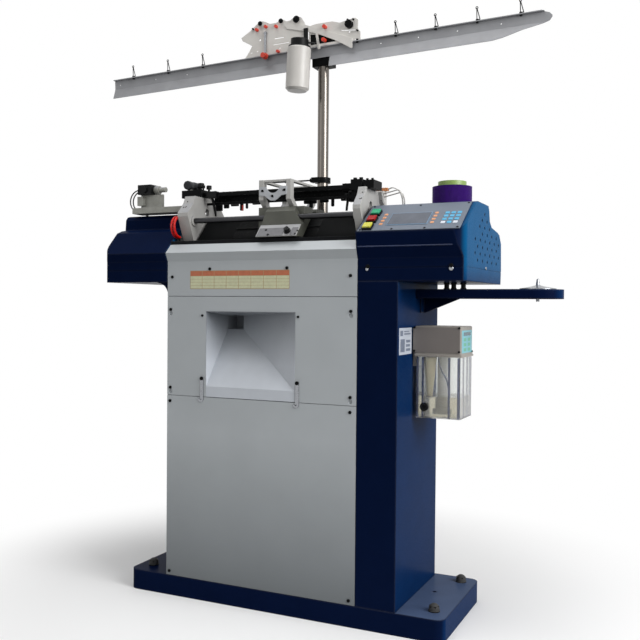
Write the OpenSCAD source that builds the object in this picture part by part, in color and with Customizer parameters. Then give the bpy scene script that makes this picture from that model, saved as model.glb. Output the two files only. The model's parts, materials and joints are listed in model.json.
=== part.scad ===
// Glove knitting machine on a pedestal, with carriage, yarn stand, control console and lubricator.
// Units: millimetres.  X runs along the needle beds, Y runs from the front to the back, Z is up.
// Origin: middle of the plinth's underside, on the floor.

/* [Plinth] */
// Length of the plinth along X
plinth_w = 1095; // [1070:5:1160]
// Depth of the plinth along Y
plinth_d = 408; // [404:1:430]
// Height of the plinth
plinth_h = 66; // [56:1:80]
// Radius of the plinth's upright corners
plinth_r = 28; // [10:1:36]

/* [Pedestal] */
// Width of the pedestal along X
column_w = 804; // [800:2:812]
// Depth of the pedestal along Y
column_d = 384; // [374:1:390]
// Height of the bed table's top above the floor
table_z = 1169; // [1140:1:1200]

/* [Wings] */
// How far the left housing reaches out of the pedestal
left_wing_l = 254; // [230:1:270]
// How far the right housing reaches from the white panels
right_wing_l = 325; // [318:1:340]

/* [Knitting head] */
// Clear length between the end brackets
head_span = 585; // [576:1:588]
// Diameter of the two carriage rods
rod_d = 18; // [14:0.5:19]
// Number of needles in each bed
needle_count = 72; // [40:1:74]
// Distance from one needle to the next
needle_pitch = 4.2; // [3.6:0.1:4.3]
// Thickness of a needle
needle_t = 1.2; // [0.8:0.1:1.4]

/* [Yarn stand] */
// Diameter of the upright pole
pole_d = 38; // [32:1:40]
// Height of the beam's lower edge above the table, at the pole
beam_rise = 605; // [560:5:640]
// Length of the beam
beam_l = 1652; // [1600:4:1680]
// Lean of the beam on its clamp, in degrees
beam_tilt = 1.5; // [0:0.1:2]

/* [Lubricator] */
// Width of the oil tank along X
tank_w = 136; // [120:1:138]
// Height of the oil tank
tank_h = 186; // [150:2:200]

/* [Hidden] */
$fn = 48;
eps = 1;                                // overshoot of a cut past a face

// Planes the whole machine is laid out from
front = -plinth_d / 2;                  // front plane of the white panels
tz = table_z;                           // top of the bed table
panel_t = 6;                            // depth of a front panel
column_y0 = front + panel_t;            // front of the pedestal behind the panels
column_y1 = column_y0 + column_d;       // back of the pedestal
wing_drop = 136;                        // table top down to the underside of the housings
column_top = tz - wing_drop;
panel_x0 = -column_w / 2 + 2;           // left edge of the white panels
seam_gap = 1.5;
seam_high = tz - 182;                   // seam under the upper cover
seam_low = seam_high - 325;             // seam under the middle panel

// Knitting head and what stands beside it along X
head_x = -42.5;                         // middle of the head
bracket_x0 = head_x - head_span / 2;    // inner face of the left bracket
bracket_x1 = head_x + head_span / 2;    // inner face of the right bracket
web_t = 12;                             // thickness of a bracket's web
left_flange_w = 28;
right_flange_w = 12;
hose_x = [bracket_x0 - 56, bracket_x0 - 45];
table_x0 = min(-column_w / 2, hose_x[0] - 11);          // left edge of the bed table
panel_x1 = bracket_x1 + web_t + right_flange_w + 1;     // right edge of the white panels

// Chute
chute_x0 = -249;
chute_x1 = 69;
chute_z0 = seam_low + 35;
chute_z1 = seam_high - 50;
chute_depth = 110;
mouth_x0 = -235;                        // small mouth at the back of the chute
mouth_x1 = -175;
mouth_z0 = chute_z1 - 57;
mouth_z1 = chute_z1 - 12;
mouth_depth = 60;
chute_wall = 3;
flange_x0 = chute_x0 - 1.5;
flange_x1 = chute_x1 + 1.5;
flange_z0 = seam_low + 1.25;
flange_z1 = chute_z1 + 1.5;

// Beds and rods, measured from the front plane and the table top
crest_y = 135;                          // needle gap, behind the front plane
rod_y = 52;
rod_z = 68;
rod_r = rod_d / 2;
rod_fit = 0.06;                         // running fit of the carriage on its rods
bed_foot_y = 57;
bed_run = 76;
bed_rise = 82;
bed_angle = atan2(bed_rise, bed_run);
bed_plate_t = 6;
bed_w0 = 6.2;                           // plate's start and end along the slope
bed_w1 = 104;
bed_edge = 10;                          // bed ends stand clear of the brackets
slot_d = 4.5;
slot_w = needle_t + 0.6;
needle_x0 = head_x - (needle_count - 1) * needle_pitch / 2;
rail_a = [112, 156, 4, 12];             // y, z, thickness, height of the front carrier rail
rail_b = [150, 160, 4, 14];             // rear carrier rail
rail_c = [133, 128, 4, 8];              // bright middle rail
rail_x0 = bracket_x0 - 80;              // left end of the carrier rails
block_z0 = 152;
block_z1 = 178;
carrier_fit = 0.3;

// Carriage
cam_x0 = -93;
cam_x1 = 69;
nose_x0 = -70;
arm_w = 16;
arch_x0 = cam_x0 + 9;
arch_x1 = 29;
arch_top = 187;
arch_in = 180.5;

// Belt drive behind the rear bed
pulley_y = 296;
pulley_r = 18;
pulley_bore = 7;
pulley_x0 = bracket_x0 - 30;
pulley_x1 = bracket_x1 - 10;
belt_gap = 0.3;
belt_t = 1.5;
belt_z0 = 20;
belt_h = 12;
belt_y = pulley_y - pulley_r - belt_gap - belt_t / 2;   // middle of the belt's front run
grip = 1.2;                             // half the width of the fork's slot

// Console
console_y = -20;                        // lower edge of the sloping face
console_z = 7;
console_run = 135;
console_rise = 91;
console_angle = atan2(console_rise, console_run);
console_t = 2;
button_x = panel_x1 + 33;
button_w = [21, 64, 105];               // places of the buttons up the slope
button_s = 25;
housing_s = 30;
housing_h = 7;

// Yarn stand
pole_y = 345;
pole_r = pole_d / 2;
beam_z = tz + beam_rise;
beam_y = 322;                           // front face of the beam's web
beam_h = 72;
beam_t = 3;
beam_x0 = -876;
beam_x1 = beam_x0 + beam_l;
guide_pitch = (beam_x1 - 232) / 4;      // guides right of the pole share the beam's length
guide_x = concat([-785, -626, -473], [for (i = [0 : 4]) 138 + i * guide_pitch]);

// Lubricator and tray on the pedestal's right side
side_x = column_w / 2;
lube_y = front + 130;
lube_z = tz - 360;
lube_x0 = side_x + 10;
tank_t = 3;
tray_z1 = tz - 156;
tray_l = 430;
tray_d = 150;
tray_h = 28;
tray_y = front + 235;                   // middle line of the tray

// Helpers -------------------------------------------------------------------------------------

// Extrude a (y, z) outline along X.
module along_x(x0, x1) {
    translate([x0, 0, 0])
        rotate([90, 0, 90])
            linear_extrude(height = x1 - x0)
                children();
}

// Extrude an (x, z) outline along Y.
module along_y(y0, y1) {
    translate([0, y1, 0])
        rotate([90, 0, 0])
            linear_extrude(height = y1 - y0)
                children();
}

// A box from one corner to the other.
module box(x, y, z) {
    translate([x[0], y[0], z[0]])
        cube([x[1] - x[0], y[1] - y[0], z[1] - z[0]]);
}

// A slab with rounded upright corners, centred on X and Y.
module rounded_slab(w, d, h, r) {
    translate([-w / 2 + r, -d / 2, 0])
        cube([w - 2 * r, d, h]);
    translate([-w / 2, -d / 2 + r, 0])
        cube([w, d - 2 * r, h]);
    for (sx = [-1, 1], sy = [-1, 1])
        translate([sx * (w / 2 - r), sy * (d / 2 - r), 0])
            cylinder(h = h, r = r);
}

// Place things in the head's own frame: Y from the front plane, Z from the table top.
module at_head() {
    translate([0, front, tz])
        children();
}

// Draw in the head's frame, once in front of the needle gap and once behind it.
module both_beds() {
    children();
    translate([0, 2 * crest_y, 0])
        mirror([0, 1, 0])
            children();
}

// Frame of the front bed's slope: Y runs up the slope, Z stands off its surface.
module on_bed() {
    translate([0, bed_foot_y, 0])
        rotate([bed_angle, 0, 0])
            children();
}

// Frame of the console's slope.
module on_console() {
    translate([0, front + console_y, tz + console_z])
        rotate([console_angle, 0, 0])
            children();
}

// Frame of the yarn beam, leaning on its clamp; Y from the front plane, Z from its lower edge.
module on_beam() {
    translate([0, front, beam_z])
        rotate([0, -beam_tilt, 0])
            children();
}

// A pin along Y.
module pin_y(x, z, y0, y1, r) {
    translate([x, y0, z])
        rotate([-90, 0, 0])
            cylinder(h = y1 - y0, r = r);
}

// A pin along X.
module pin_x(y, z, x0, x1, r) {
    translate([x0, y, z])
        rotate([0, 90, 0])
            cylinder(h = x1 - x0, r = r);
}

// A straight round bar between two points.
module bar(p, q, r) {
    d = q - p;
    l = norm(d);
    translate(p)
        rotate([0, acos(d[2] / l), atan2(d[1], d[0])])
            cylinder(h = l, r = r);
}

// Plinth and pedestal ---------------------------------------------------------------------------

bolt_x = plinth_w / 2 - 48;
bolt_y = [front + 68, front + 362];
bolt_r = 8;
bolt_fit = 0.3;
anchor_x = plinth_w / 2 - 97.5;         // tapped holes for the floor anchors
anchor_y = front + 232;
anchor_r = 6;

module base_plinth() {
    color("midnightblue")
        difference() {
            rounded_slab(plinth_w, plinth_d, plinth_h, plinth_r);
            for (sx = [-1, 1], y = bolt_y)
                translate([sx * bolt_x, y, plinth_h - 40])
                    cylinder(h = 40 + eps, r = bolt_r + bolt_fit);
            for (sx = [-1, 1])
                translate([sx * anchor_x, anchor_y, -eps])
                    cylinder(h = plinth_h + 2 * eps, r = anchor_r);
        }
}

module levelling_bolts() {
    head_h = 14;
    head_r = 15.5;
    washer_r = 17;
    washer_t = 3;
    shank_l = 34;
    color("black")
        for (sx = [-1, 1], y = bolt_y)
            translate([sx * bolt_x, y, plinth_h]) {
                cylinder(h = washer_t, r = washer_r);
                translate([0, 0, washer_t])
                    cylinder(h = head_h, r = head_r, $fn = 6);
                translate([0, 0, -shank_l])
                    cylinder(h = shank_l + eps, r = bolt_r);
            }
}

// The chute's hollow, grown by g on every side.
module chute_hollow(g) {
    intersection() {
        along_x(flange_x0 - 40, flange_x1 + 40)
            polygon([
                [front - eps, chute_z0 - g],
                [front, chute_z0 - g],
                [front + chute_depth, mouth_z0 - g],
                [front + chute_depth, mouth_z1 + g],
                [front, chute_z1 + g],
                [front - eps, chute_z1 + g]
            ]);
        translate([0, 0, chute_z0 - 40])
            linear_extrude(height = chute_z1 - chute_z0 + 80)
                polygon([
                    [chute_x0 - g, front - eps],
                    [chute_x1 + g, front - eps],
                    [chute_x1 + g, front],
                    [mouth_x1 + g, front + chute_depth],
                    [mouth_x0 - g, front + chute_depth],
                    [chute_x0 - g, front]
                ]);
    }
    box([mouth_x0 - g, mouth_x1 + g],
        [front + chute_depth - eps, front + chute_depth + mouth_depth + g],
        [mouth_z0 - g, mouth_z1 + g]);
}

module pedestal_shell() {
    strip_z1 = column_top;
    color("midnightblue")
        difference() {
            union() {
                box([-column_w / 2, column_w / 2], [column_y0, column_y1], [plinth_h, column_top]);
                box([panel_x1 + 0.5, column_w / 2], [front, column_y0 + eps], [plinth_h, strip_z1]);
            }
            chute_hollow(chute_wall + 0.5);
        }
}

module rear_panel() {
    panel_w = 700;
    z0 = plinth_h + 60;
    z1 = column_top - 60;
    t = 3;
    louvre_w = 180;
    louvre_h = 8;
    louvres = 9;
    color("midnightblue")
        difference() {
            box([-panel_w / 2, panel_w / 2], [column_y1, column_y1 + t], [z0, z1]);
            for (side = [-1, 1], i = [0 : louvres - 1])
                translate([side * 190 - louvre_w / 2, column_y1 - eps, z1 - 120 - i * 22])
                    cube([louvre_w, t + 2 * eps, louvre_h]);
        }
}

module upper_front_cover() {
    color("gainsboro")
        along_x(table_x0 + 2, panel_x1 - 0.5)
            polygon([
                [front, seam_high + seam_gap / 2],
                [front, tz - 68],
                [front - 14, tz - 41],
                [front + 16, tz - 12],
                [front + 17.5, tz - 12],
                [front + 17.5, tz - 29],
                [column_y0, tz - 29],
                [column_y0, seam_high + seam_gap / 2]
            ]);
}

keyholes = [[panel_x0 + 13, seam_high - 56], [panel_x1 - 20, seam_high - 56],
            [panel_x0 + 13, seam_low + 13], [panel_x1 - 20, seam_low + 13]];

module middle_front_panel() {
    hole_r = 7;
    color("gainsboro")
        difference() {
            box([panel_x0, panel_x1 - 0.5], [front, column_y0],
                [seam_low + seam_gap / 2, seam_high - seam_gap / 2]);
            box([flange_x0 - 0.5, flange_x1 + 0.5], [front - eps, column_y0 + eps],
                [seam_low, flange_z1 + 0.5]);
            for (k = keyholes)
                pin_y(k[0], k[1], front - eps, column_y0 - 2, hole_r);
        }
}

module lower_front_panel() {
    color("gainsboro")
        box([panel_x0, panel_x1 - 0.5], [front, column_y0],
            [plinth_h + 1, seam_low - seam_gap / 2]);
}

module chute_funnel() {
    color("gainsboro")
        difference() {
            union() {
                box([flange_x0, flange_x1], [front, column_y0], [flange_z0, flange_z1]);
                intersection() {
                    chute_hollow(chute_wall);
                    box([flange_x0 - 60, flange_x1 + 60], [column_y0, column_y1],
                        [chute_z0 - 60, chute_z1 + 60]);
                }
            }
            chute_hollow(0);
        }
}

hook_z = seam_low + 60;
hook_x = [flange_x0 - 14, flange_x1 + 9];
hook_t = 2.3;
hook_gap = 0.4;
hook_pin_r = 3;

module pan_screw(x, z, y, r) {
    pin_y(x, z, y - 2.5, y, r);
}

module panel_screws() {
    r = 5;
    z_end = [plinth_h + 14, seam_low - 19];
    color("silver") {
        for (p = [[panel_x0 + 18.5, tz - 119], [-237, tz - 94], [41, tz - 94],
                  [panel_x1 - 22, tz - 119]])
            pan_screw(p[0], p[1], front, r);
        for (k = keyholes)
            pan_screw(k[0], k[1] + 12.5, front, r);
        for (p = [[flange_x0 - 14, chute_z1 - 12], [flange_x1 + 10, chute_z1 - 12]])
            pan_screw(p[0], p[1], front, 4);
        for (x = [panel_x0 + 12, panel_x1 - 20], z = z_end)
            pan_screw(x, z, front, r);
        for (x = [panel_x1 + 33, panel_x1 + 285])
            pan_screw(x, tz - 93, front, 6);
        for (x = hook_x) {
            pin_y(x, hook_z, front - hook_gap - hook_t - 0.4, front, hook_pin_r);
            pin_y(x, hook_z, front - hook_gap - hook_t - 2.9, front - hook_gap - hook_t - 0.4, 6);
        }
    }
}

module bag_hook(x) {
    w = 12;
    l = 66;
    r_out = 10;
    r_in = 4;
    color("silver")
        difference() {
            along_y(front - hook_gap - hook_t, front - hook_gap) {
                translate([x - w / 2, hook_z - l])
                    square([w, l]);
                translate([x, hook_z])
                    circle(r = w / 2);
                translate([x + w / 2 - r_out, hook_z - l])
                    difference() {
                        circle(r = r_out);
                        circle(r = r_in);
                        translate([-r_out - eps, 0])
                            square([2 * r_out + 2 * eps, r_out + eps]);
                    }
            }
            pin_y(x, hook_z, front - 6, front, hook_pin_r + 0.08);
        }
}

module bag_hook_left() {
    bag_hook(hook_x[0]);
}

module bag_hook_right() {
    bag_hook(hook_x[1]);
}

// Bed table and wing housings ---------------------------------------------------------------------

module bed_table() {
    color("dimgray") {
        box([table_x0, panel_x1], [column_y0, column_y1], [column_top, tz - 29]);
        box([table_x0 + 2, panel_x1 - 1.5], [front + 18, column_y1 - 2], [tz - 29 - eps, tz]);
    }
}

// Back of both housings: (y, z) from the front plane and the table top.
wing_back = [[262, 101], [272, 88], [282, 54], [307, 38], [387, 29], [412, 23], [437, -4],
             [441, -88], [435, -wing_drop]];
left_front = [[0, -wing_drop], [0, -68], [-14, -41], [60, 36], [85, 46], [106, 50], [109, 86],
              [118, 97], [130, 101]];
right_front = [[0, -wing_drop], [0, -69], [-14, -35], [console_y, console_z],
               [console_y + console_run, console_z + console_rise], [130, 101]];

module left_wing_cover() {
    x0 = table_x0 - left_wing_l;
    x1 = table_x0 - 0.3;
    gusset = 44;
    color("midnightblue")
        at_head() {
            difference() {
                along_x(x0, x1)
                    polygon(concat(left_front, wing_back));
                corner_trim(x0, 1);
                seam_groove(x0 - eps, x1 + eps);
            }
            // Curved gusset between the housing's underside and the pedestal.
            difference() {
                box([x1 - gusset, x1], [8, 380], [-wing_drop - gusset, -wing_drop + eps]);
                translate([x1 - gusset, 0, -wing_drop - gusset])
                    pin_y(0, 0, 0, 400, gusset - 2);
            }
        }
}

// Rounds the upright outer corner of a housing; dir is +1 for the left end, -1 for the right.
module corner_trim(x, dir) {
    r = 44;
    y0 = -22;
    difference() {
        box([dir > 0 ? x - eps : x - r, dir > 0 ? x + r : x + eps], [y0 - 6, y0 + r],
            [-wing_drop - eps, 110]);
        translate([x + dir * r, y0 + r, -wing_drop - 2 * eps])
            cylinder(h = 260, r = r);
    }
}

// A fine seam line round a housing.
module seam_groove(x0, x1) {
    z = -97;
    depth = 1.2;
    box([x0, x1], [-eps, depth], [z, z + seam_gap]);
    box([x0, x1], [441 - depth, 446], [z, z + seam_gap]);
}

vent_z0 = -73;
vent_row = 20.3;
vent_pitch = 59;
vent_rows = [[135, 5], [106, 6], [135, 5], [106, 6], [190, 4], [158, 3], [186, 2], [216, 1]];

module right_wing_cover() {
    x1 = panel_x1 + right_wing_l;
    vent_r = 5;
    vent_depth = 9;
    color("steelblue")
        at_head()
            difference() {
                along_x(panel_x1 + 0.3, x1)
                    polygon(concat(right_front, wing_back));
                corner_trim(x1, -1);
                seam_groove(panel_x1, x1 + eps);
                box([x1 - 1.2, x1 + eps], [20, 446], [-97, -97 + seam_gap]);
                for (i = [0 : len(vent_rows) - 1], j = [0 : vent_rows[i][1] - 1])
                    pin_x(vent_rows[i][0] + j * vent_pitch, vent_z0 + i * vent_row,
                          x1 - vent_depth, x1 + eps, vent_r);
            }
}

// Console ---------------------------------------------------------------------------------------

console_x = [panel_x1 + 4, panel_x1 + 313];

module console_panel() {
    color("silver")
        on_console()
            box(console_x, [3, 160], [0, console_t]);
}

module console_display() {
    color("slategray")
        on_console()
            box([panel_x1 + 86, panel_x1 + 210], [31, 103], [console_t, console_t + 1.4]);
}

module keypad_keys() {
    key_t = 1;
    menu_w = 11;
    menu_h = 13;
    key_w = 13;
    key_h = 13;
    row_pitch = 19;
    col_pitch = 18;
    pad_x = panel_x1 + 249;
    color("darkturquoise")
        on_console() {
            for (x = [panel_x1 + 67, panel_x1 + 223], i = [0 : 3])
                box([x - menu_w / 2, x + menu_w / 2], [34 + i * row_pitch, 34 + i * row_pitch + menu_h],
                    [console_t, console_t + key_t]);
            for (i = [0 : 3], j = [0 : 2])
                box([pad_x + j * col_pitch, pad_x + j * col_pitch + key_w],
                    [32 + i * row_pitch, 32 + i * row_pitch + key_h],
                    [console_t, console_t + key_t]);
        }
}

module button_housings() {
    well = button_s + 0.8;
    floor_t = 1;
    color("black")
        on_console()
            for (w = button_w)
                difference() {
                    box([button_x - housing_s / 2, button_x + housing_s / 2],
                        [w - housing_s / 2, w + housing_s / 2],
                        [console_t, console_t + housing_h]);
                    box([button_x - well / 2, button_x + well / 2], [w - well / 2, w + well / 2],
                        [console_t + floor_t, console_t + housing_h + eps]);
                }
}

// A square push button standing in its housing.
module push_button(i) {
    rest = 4.5;
    cap_h = 7;
    on_console()
        box([button_x - button_s / 2, button_x + button_s / 2],
            [button_w[i] - button_s / 2, button_w[i] + button_s / 2],
            [console_t + rest, console_t + rest + cap_h]);
}

module green_button() {
    color("mediumseagreen")
        push_button(2);
}

module red_button() {
    color("firebrick")
        push_button(1);
}

module yellow_button() {
    color("gold")
        push_button(0);
}

// End brackets, rods and beds -----------------------------------------------------------------------

bracket_top = block_z0;
front_edge = [[55, 0], [18, 81], [18, 93], [50, 127], [62, bracket_top]];
flange_back = [[74, bracket_top], [61, 122], [29, 89], [29, 84], [67, 0]];

// Mirror a list of (y, z) points about the needle gap, in reverse order.
function mirrored(pts) = [for (i = [len(pts) - 1 : -1 : 0]) [2 * crest_y - pts[i][0], pts[i][1]]];

// dir is +1 for the left bracket and -1 for the right; w is the width of its flanges.
module end_bracket(inner_x, dir, flange_w) {
    web_x = dir > 0 ? [inner_x - web_t, inner_x] : [inner_x, inner_x + web_t];
    flange_x = dir > 0 ? [inner_x - web_t - flange_w, inner_x - web_t + eps]
                       : [inner_x + web_t - eps, inner_x + web_t + flange_w];
    collar_x = dir > 0 ? [inner_x - eps, inner_x + 6] : [inner_x - 6, inner_x + eps];
    mid_x = (flange_x[0] + flange_x[1]) / 2;
    slot = flange_w / 7;
    color("lightgray")
        at_head()
            difference() {
                union() {
                    along_x(web_x[0], web_x[1])
                        polygon(concat(front_edge, mirrored(front_edge)));
                    both_beds()
                        along_x(flange_x[0], flange_x[1])
                            polygon(concat(front_edge, flange_back));
                    both_beds()
                        pin_x(rod_y, rod_z, collar_x[0], collar_x[1], rod_r + 8);
                }
                // Seats of the rods, slotted hole and round hole through the front flange.
                both_beds()
                    pin_x(rod_y, rod_z, inner_x - 7, inner_x + 7, rod_r);
                both_beds() {
                    bar([mid_x - slot, 20, 128], [mid_x - slot, 58, 92], 3.5);
                    bar([mid_x + slot, 20, 131], [mid_x + slot, 58, 95], 3.5);
                    bar([mid_x, 40, 146], [mid_x, 72, 116], 2.6);
                }
                // Open middle of the casting, over the rear of the web.
                pin_x(crest_y, 104, web_x[0] - eps, web_x[1] + eps, 12);
            }
}

module left_end_bracket() {
    end_bracket(bracket_x0, 1, left_flange_w);
}

module right_end_bracket() {
    end_bracket(bracket_x1, -1, right_flange_w);
}

clamp_z = 214;                          // upper clamp on the pole, above the table
clamp_h = 18;
lug_x = -30;
lug_y = 322;

module guide_rods() {
    seat = 7;
    side_rod_l = 200;
    color("silver")
        at_head() {
            both_beds()
                pin_x(rod_y, rod_z, bracket_x0 - seat, bracket_x1 + seat, rod_r);
            for (x = [pulley_x0, pulley_x1])
                pulley_post(x);
            // Thin rod held by the clamp on the pole.
            pin_x(lug_y, clamp_z + clamp_h / 2, lug_x - side_rod_l, lug_x, 2.5);
        }
}

module needle_bed() {
    x0 = bracket_x0 + bed_edge;
    x1 = bracket_x1 - bed_edge;
    seat = bed_plate_t - 0.5;
    wedge_y = bed_foot_y + seat / sin(bed_angle);
    wedge_z = bed_rise - seat / cos(bed_angle);
    crest = bed_foot_y + bed_run;
    comb = concat(
        [[x0, -bed_plate_t], [x0, 0]],
        [for (i = [0 : needle_count - 1], k = [0 : 3])
            [needle_x0 + i * needle_pitch + (k < 2 ? -slot_w / 2 : slot_w / 2),
             (k == 0 || k == 3) ? 0 : -slot_d]],
        [[x1, 0], [x1, -bed_plate_t]]
    );
    along_x(x0 + 2, x1 - 2)
        polygon([[wedge_y, 0], [crest, wedge_z], [crest, 0]]);
    on_bed()
        along_y(bed_w0, bed_w1)
            polygon(comb);
}

module front_needle_bed() {
    color("dimgray")
        at_head()
            needle_bed();
}

module rear_needle_bed() {
    color("dimgray")
        at_head()
            translate([0, 2 * crest_y, 0])
                mirror([0, 1, 0])
                    needle_bed();
}

module needles() {
    low = -slot_d;
    top = -0.8;
    butt_w = [50, 56];
    butt_h = 4.5;
    tip = bed_w1 + 5;
    color("silver")
        at_head()
            both_beds()
                on_bed()
                    for (i = [0 : needle_count - 1])
                        along_x(needle_x0 + i * needle_pitch - needle_t / 2,
                                needle_x0 + i * needle_pitch + needle_t / 2)
                            polygon([
                                [10, low], [10, top], [butt_w[0], top], [butt_w[0], butt_h],
                                [butt_w[1], butt_h], [butt_w[1], top], [tip - 6, top],
                                [tip - 3, 1.4], [tip, 1.2], [tip - 1, 0], [tip - 3, low + 2],
                                [tip - 6, low]
                            ]);
}

module rail(p, x0, x1, g) {
    box([x0, x1], [p[0] - g, p[0] + p[2] + g], [p[1] - g, p[1] + p[3] + g]);
}

module yarn_rails() {
    color("dimgray")
        at_head() {
            rail(rail_a, rail_x0, bracket_x1, 0);
            rail(rail_b, rail_x0, bracket_x1, 0);
            rail(rail_c, bracket_x0, bracket_x1, 0);
        }
}

module rail_end_blocks() {
    block_y = [100, 170];
    right_l = 35;
    bolt_h = 6;
    color("black")
        at_head() {
            difference() {
                box([rail_x0, bracket_x0], block_y, [block_z0, block_z1]);
                rail(rail_a, rail_x0 - eps, bracket_x0 + eps, 0);
                rail(rail_b, rail_x0 - eps, bracket_x0 + eps, 0);
            }
            box([bracket_x1, bracket_x1 + right_l], block_y, [block_z0, block_z1]);
            for (x = [bracket_x1 + 9, bracket_x1 + 26])
                translate([x, 112, block_z1 - eps])
                    cylinder(h = bolt_h + eps, r = 4);
            // Selector knobs on the left block.
            for (x = [bracket_x0 - 24, bracket_x0 - 8]) {
                translate([x, 122, block_z1 - eps])
                    cylinder(h = 10, r = 3);
                translate([x, 122, block_z1 + 8])
                    cylinder(h = 9, r = 6.5);
            }
            // Stop block on the front rail's right part, with its rollers.
            difference() {
                box([bracket_x1 - 42, bracket_x1 - 4], [100, 138], [148, 182]);
                rail(rail_a, bracket_x1 - 50, bracket_x1, 0);
            }
            for (x = [bracket_x1 - 34, bracket_x1 - 14])
                translate([x, 118, 182 - eps])
                    cylinder(h = 8, r = 6);
            box([bracket_x1 - 30, bracket_x1 - 12], [104, 128], [120, 148 + eps]);
        }
}

// Carriage ----------------------------------------------------------------------------------------

plate_foot = [2, 6];                    // lower edge of the carriage's front plate
plate_head = [36, 43];                  // upper edge of the carriage's front plate
plate_angle = atan2(plate_head[1] - plate_foot[1], plate_head[0] - plate_foot[0]);
knob_x = 34;
knob_w = 18;                            // place of the knob's axis up the front plate
spindle_r = 4;
spindle_l = 14;

// Frame of the carriage's front plate: Y runs up the plate, Z stands off it.
module on_plate() {
    translate([0, plate_foot[0], plate_foot[1]])
        rotate([plate_angle, 0, 0])
            children();
}

// Bore for the stitch knob's spindle.
module knob_bore() {
    on_plate()
        translate([knob_x, knob_w, -spindle_l - 0.5])
            cylinder(h = spindle_l + 0.5 + eps, r = spindle_r + rod_fit);
}

// The cam block over the front bed, bored for its rod.
module cam_block() {
    difference() {
        union() {
            intersection() {
                along_x(nose_x0, cam_x1)
                    polygon([[4.2, 4], [38.2, 41], [38.2, 86], [54, 102], [60, 102], [60, 15],
                             [49.8, 4]]);
                along_y(0, 62)
                    polygon([[nose_x0, 0], [cam_x1, 0], [cam_x1, 46], [cam_x1 - 30, 104],
                             [nose_x0 + 20, 104], [nose_x0, 46]]);
            }
            along_x(cam_x0, cam_x1)
                polygon([[60, 15], [60, 102], [112, 102], [120, 94], [120, 79.5]]);
        }
        pin_x(rod_y, rod_z, cam_x0 - eps, cam_x1 + eps, rod_r + rod_fit);
    }
}

module carriage_cam_blocks() {
    color("gray")
        at_head()
            difference() {
                both_beds()
                    cam_block();
                knob_bore();
            }
}

module carriage_arch() {
    arm_x = [[arch_x0, arch_x0 + arm_w], [arch_x1 - arm_w, arch_x1]];
    arm = [[44, arch_top], [44, 124], [70, 102], [96, 102], [66, 130], [66, arch_in]];
    color("gainsboro")
        at_head() {
            for (x = arm_x)
                along_x(x[0], x[1])
                    polygon(concat(arm, mirrored(arm)));
            // Tie bars between the two arms.
            both_beds()
                box([arch_x0 + arm_w - eps, arch_x1 - arm_w + eps], [47, 60], [arch_in, arch_top]);
            // Sloping front and rear plates with their holes.
            both_beds()
                difference() {
                    along_x(nose_x0 - 2, cam_x1)
                        polygon([plate_foot, plate_head, [38.2, 41], [4.2, 4]]);
                    knob_bore();
                    bar([nose_x0 + 14, 0, 36], [nose_x0 + 14, 34, 6], 2.5);
                    bar([nose_x0 + 26, -8, 24], [nose_x0 + 26, 26, -6], 2.5);
                    bar([cam_x1 - 9, 2, 38], [cam_x1 - 9, 36, 8], 2.5);
                }
            // Fork that takes the belt.
            along_x(-20, 20)
                polygon([
                    [256.5, 16], [belt_y - grip, 16], [belt_y - grip, 34], [belt_y + grip, 34],
                    [belt_y + grip, 16], [belt_y + grip + 4, 16], [belt_y + grip + 4, 40],
                    [234.6, 40]
                ]);
        }
}

module carriage_yoke() {
    x = (arch_x0 + arch_x1) / 2 - 5;
    z = 121;
    t = 3;
    color("whitesmoke")
        at_head()
            difference() {
                along_y(44 - t, 44)
                    translate([x, z])
                        difference() {
                            polygon([
                                [-49, 44], [-20, 44], [20, 44], [49, 44], [49, 18], [29, 15],
                                [15, 4], [8, 0], [-8, 0], [-15, 4], [-29, 15], [-49, 18]
                            ]);
                            translate([0, 48])
                                circle(r = 24);
                        }
                for (p = [[-35, 30], [35, 30], [0, 11]])
                    pin_y(x + p[0], z + p[1], 40, 45, 2.6);
            }
}

module stitch_knob() {
    gap = 0.4;
    color("black")
        at_head()
            on_plate()
                translate([knob_x, knob_w, 0]) {
                    translate([0, 0, -spindle_l])
                        cylinder(h = spindle_l + 2, r = spindle_r);
                    translate([0, 0, gap])
                        cylinder(h = 5, r = 11);
                    translate([0, 0, gap + 4])
                        cylinder(h = 9, r = 8.5);
                    translate([-2, -8, gap + 12])
                        cube([4, 16, 3]);
                }
}

// A yarn carrier riding on a flat rail, its finger reaching down to the needle gap.
module yarn_carrier(p, x, dir) {
    w = 36;
    finger = 6;
    y0 = p[0] - 8;
    y1 = p[0] + p[2] + 8;
    z0 = p[1] - 7;
    z1 = p[1] + p[3] + 3;
    root = p[0] + p[2] / 2;
    tip = crest_y + (dir > 0 ? -1 : 1);
    difference() {
        box([x - w / 2, x + w / 2], [y0, y1], [z0, z1]);
        rail(p, x - w, x + w, carrier_fit);
    }
    along_x(x - finger / 2, x + finger / 2)
        polygon([
            [root - dir * 2 - 4, z0 + eps], [root - dir * 2 + 4, z0 + eps],
            [tip + 3 - dir * 3, 104], [tip + 2, 90], [tip - 2, 90], [tip - 3 - dir * 3, 104]
        ]);
    for (s = [-1, 1])
        translate([x + s * 10, root, z1 - eps])
            cylinder(h = 1.6 + eps, r = 3.4);
}

module yarn_carrier_left() {
    color("black")
        at_head()
            yarn_carrier(rail_a, bracket_x0 + 35, 1);
}

module yarn_carrier_right() {
    color("dimgray")
        at_head()
            yarn_carrier(rail_b, bracket_x1 - 70, -1);
}

// Belt drive ----------------------------------------------------------------------------------------

module pulley(x) {
    rim_t = 3.4;
    width = belt_h + 8;
    at_head()
        translate([x, pulley_y, belt_z0 - 4])
            difference() {
                union() {
                    cylinder(h = width, r = pulley_r);
                    for (z = [0, width - rim_t])
                        translate([0, 0, z])
                            cylinder(h = rim_t, r = pulley_r + 3);
                }
                translate([0, 0, -eps])
                    cylinder(h = width + 2 * eps, r = pulley_bore);
            }
}

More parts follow.
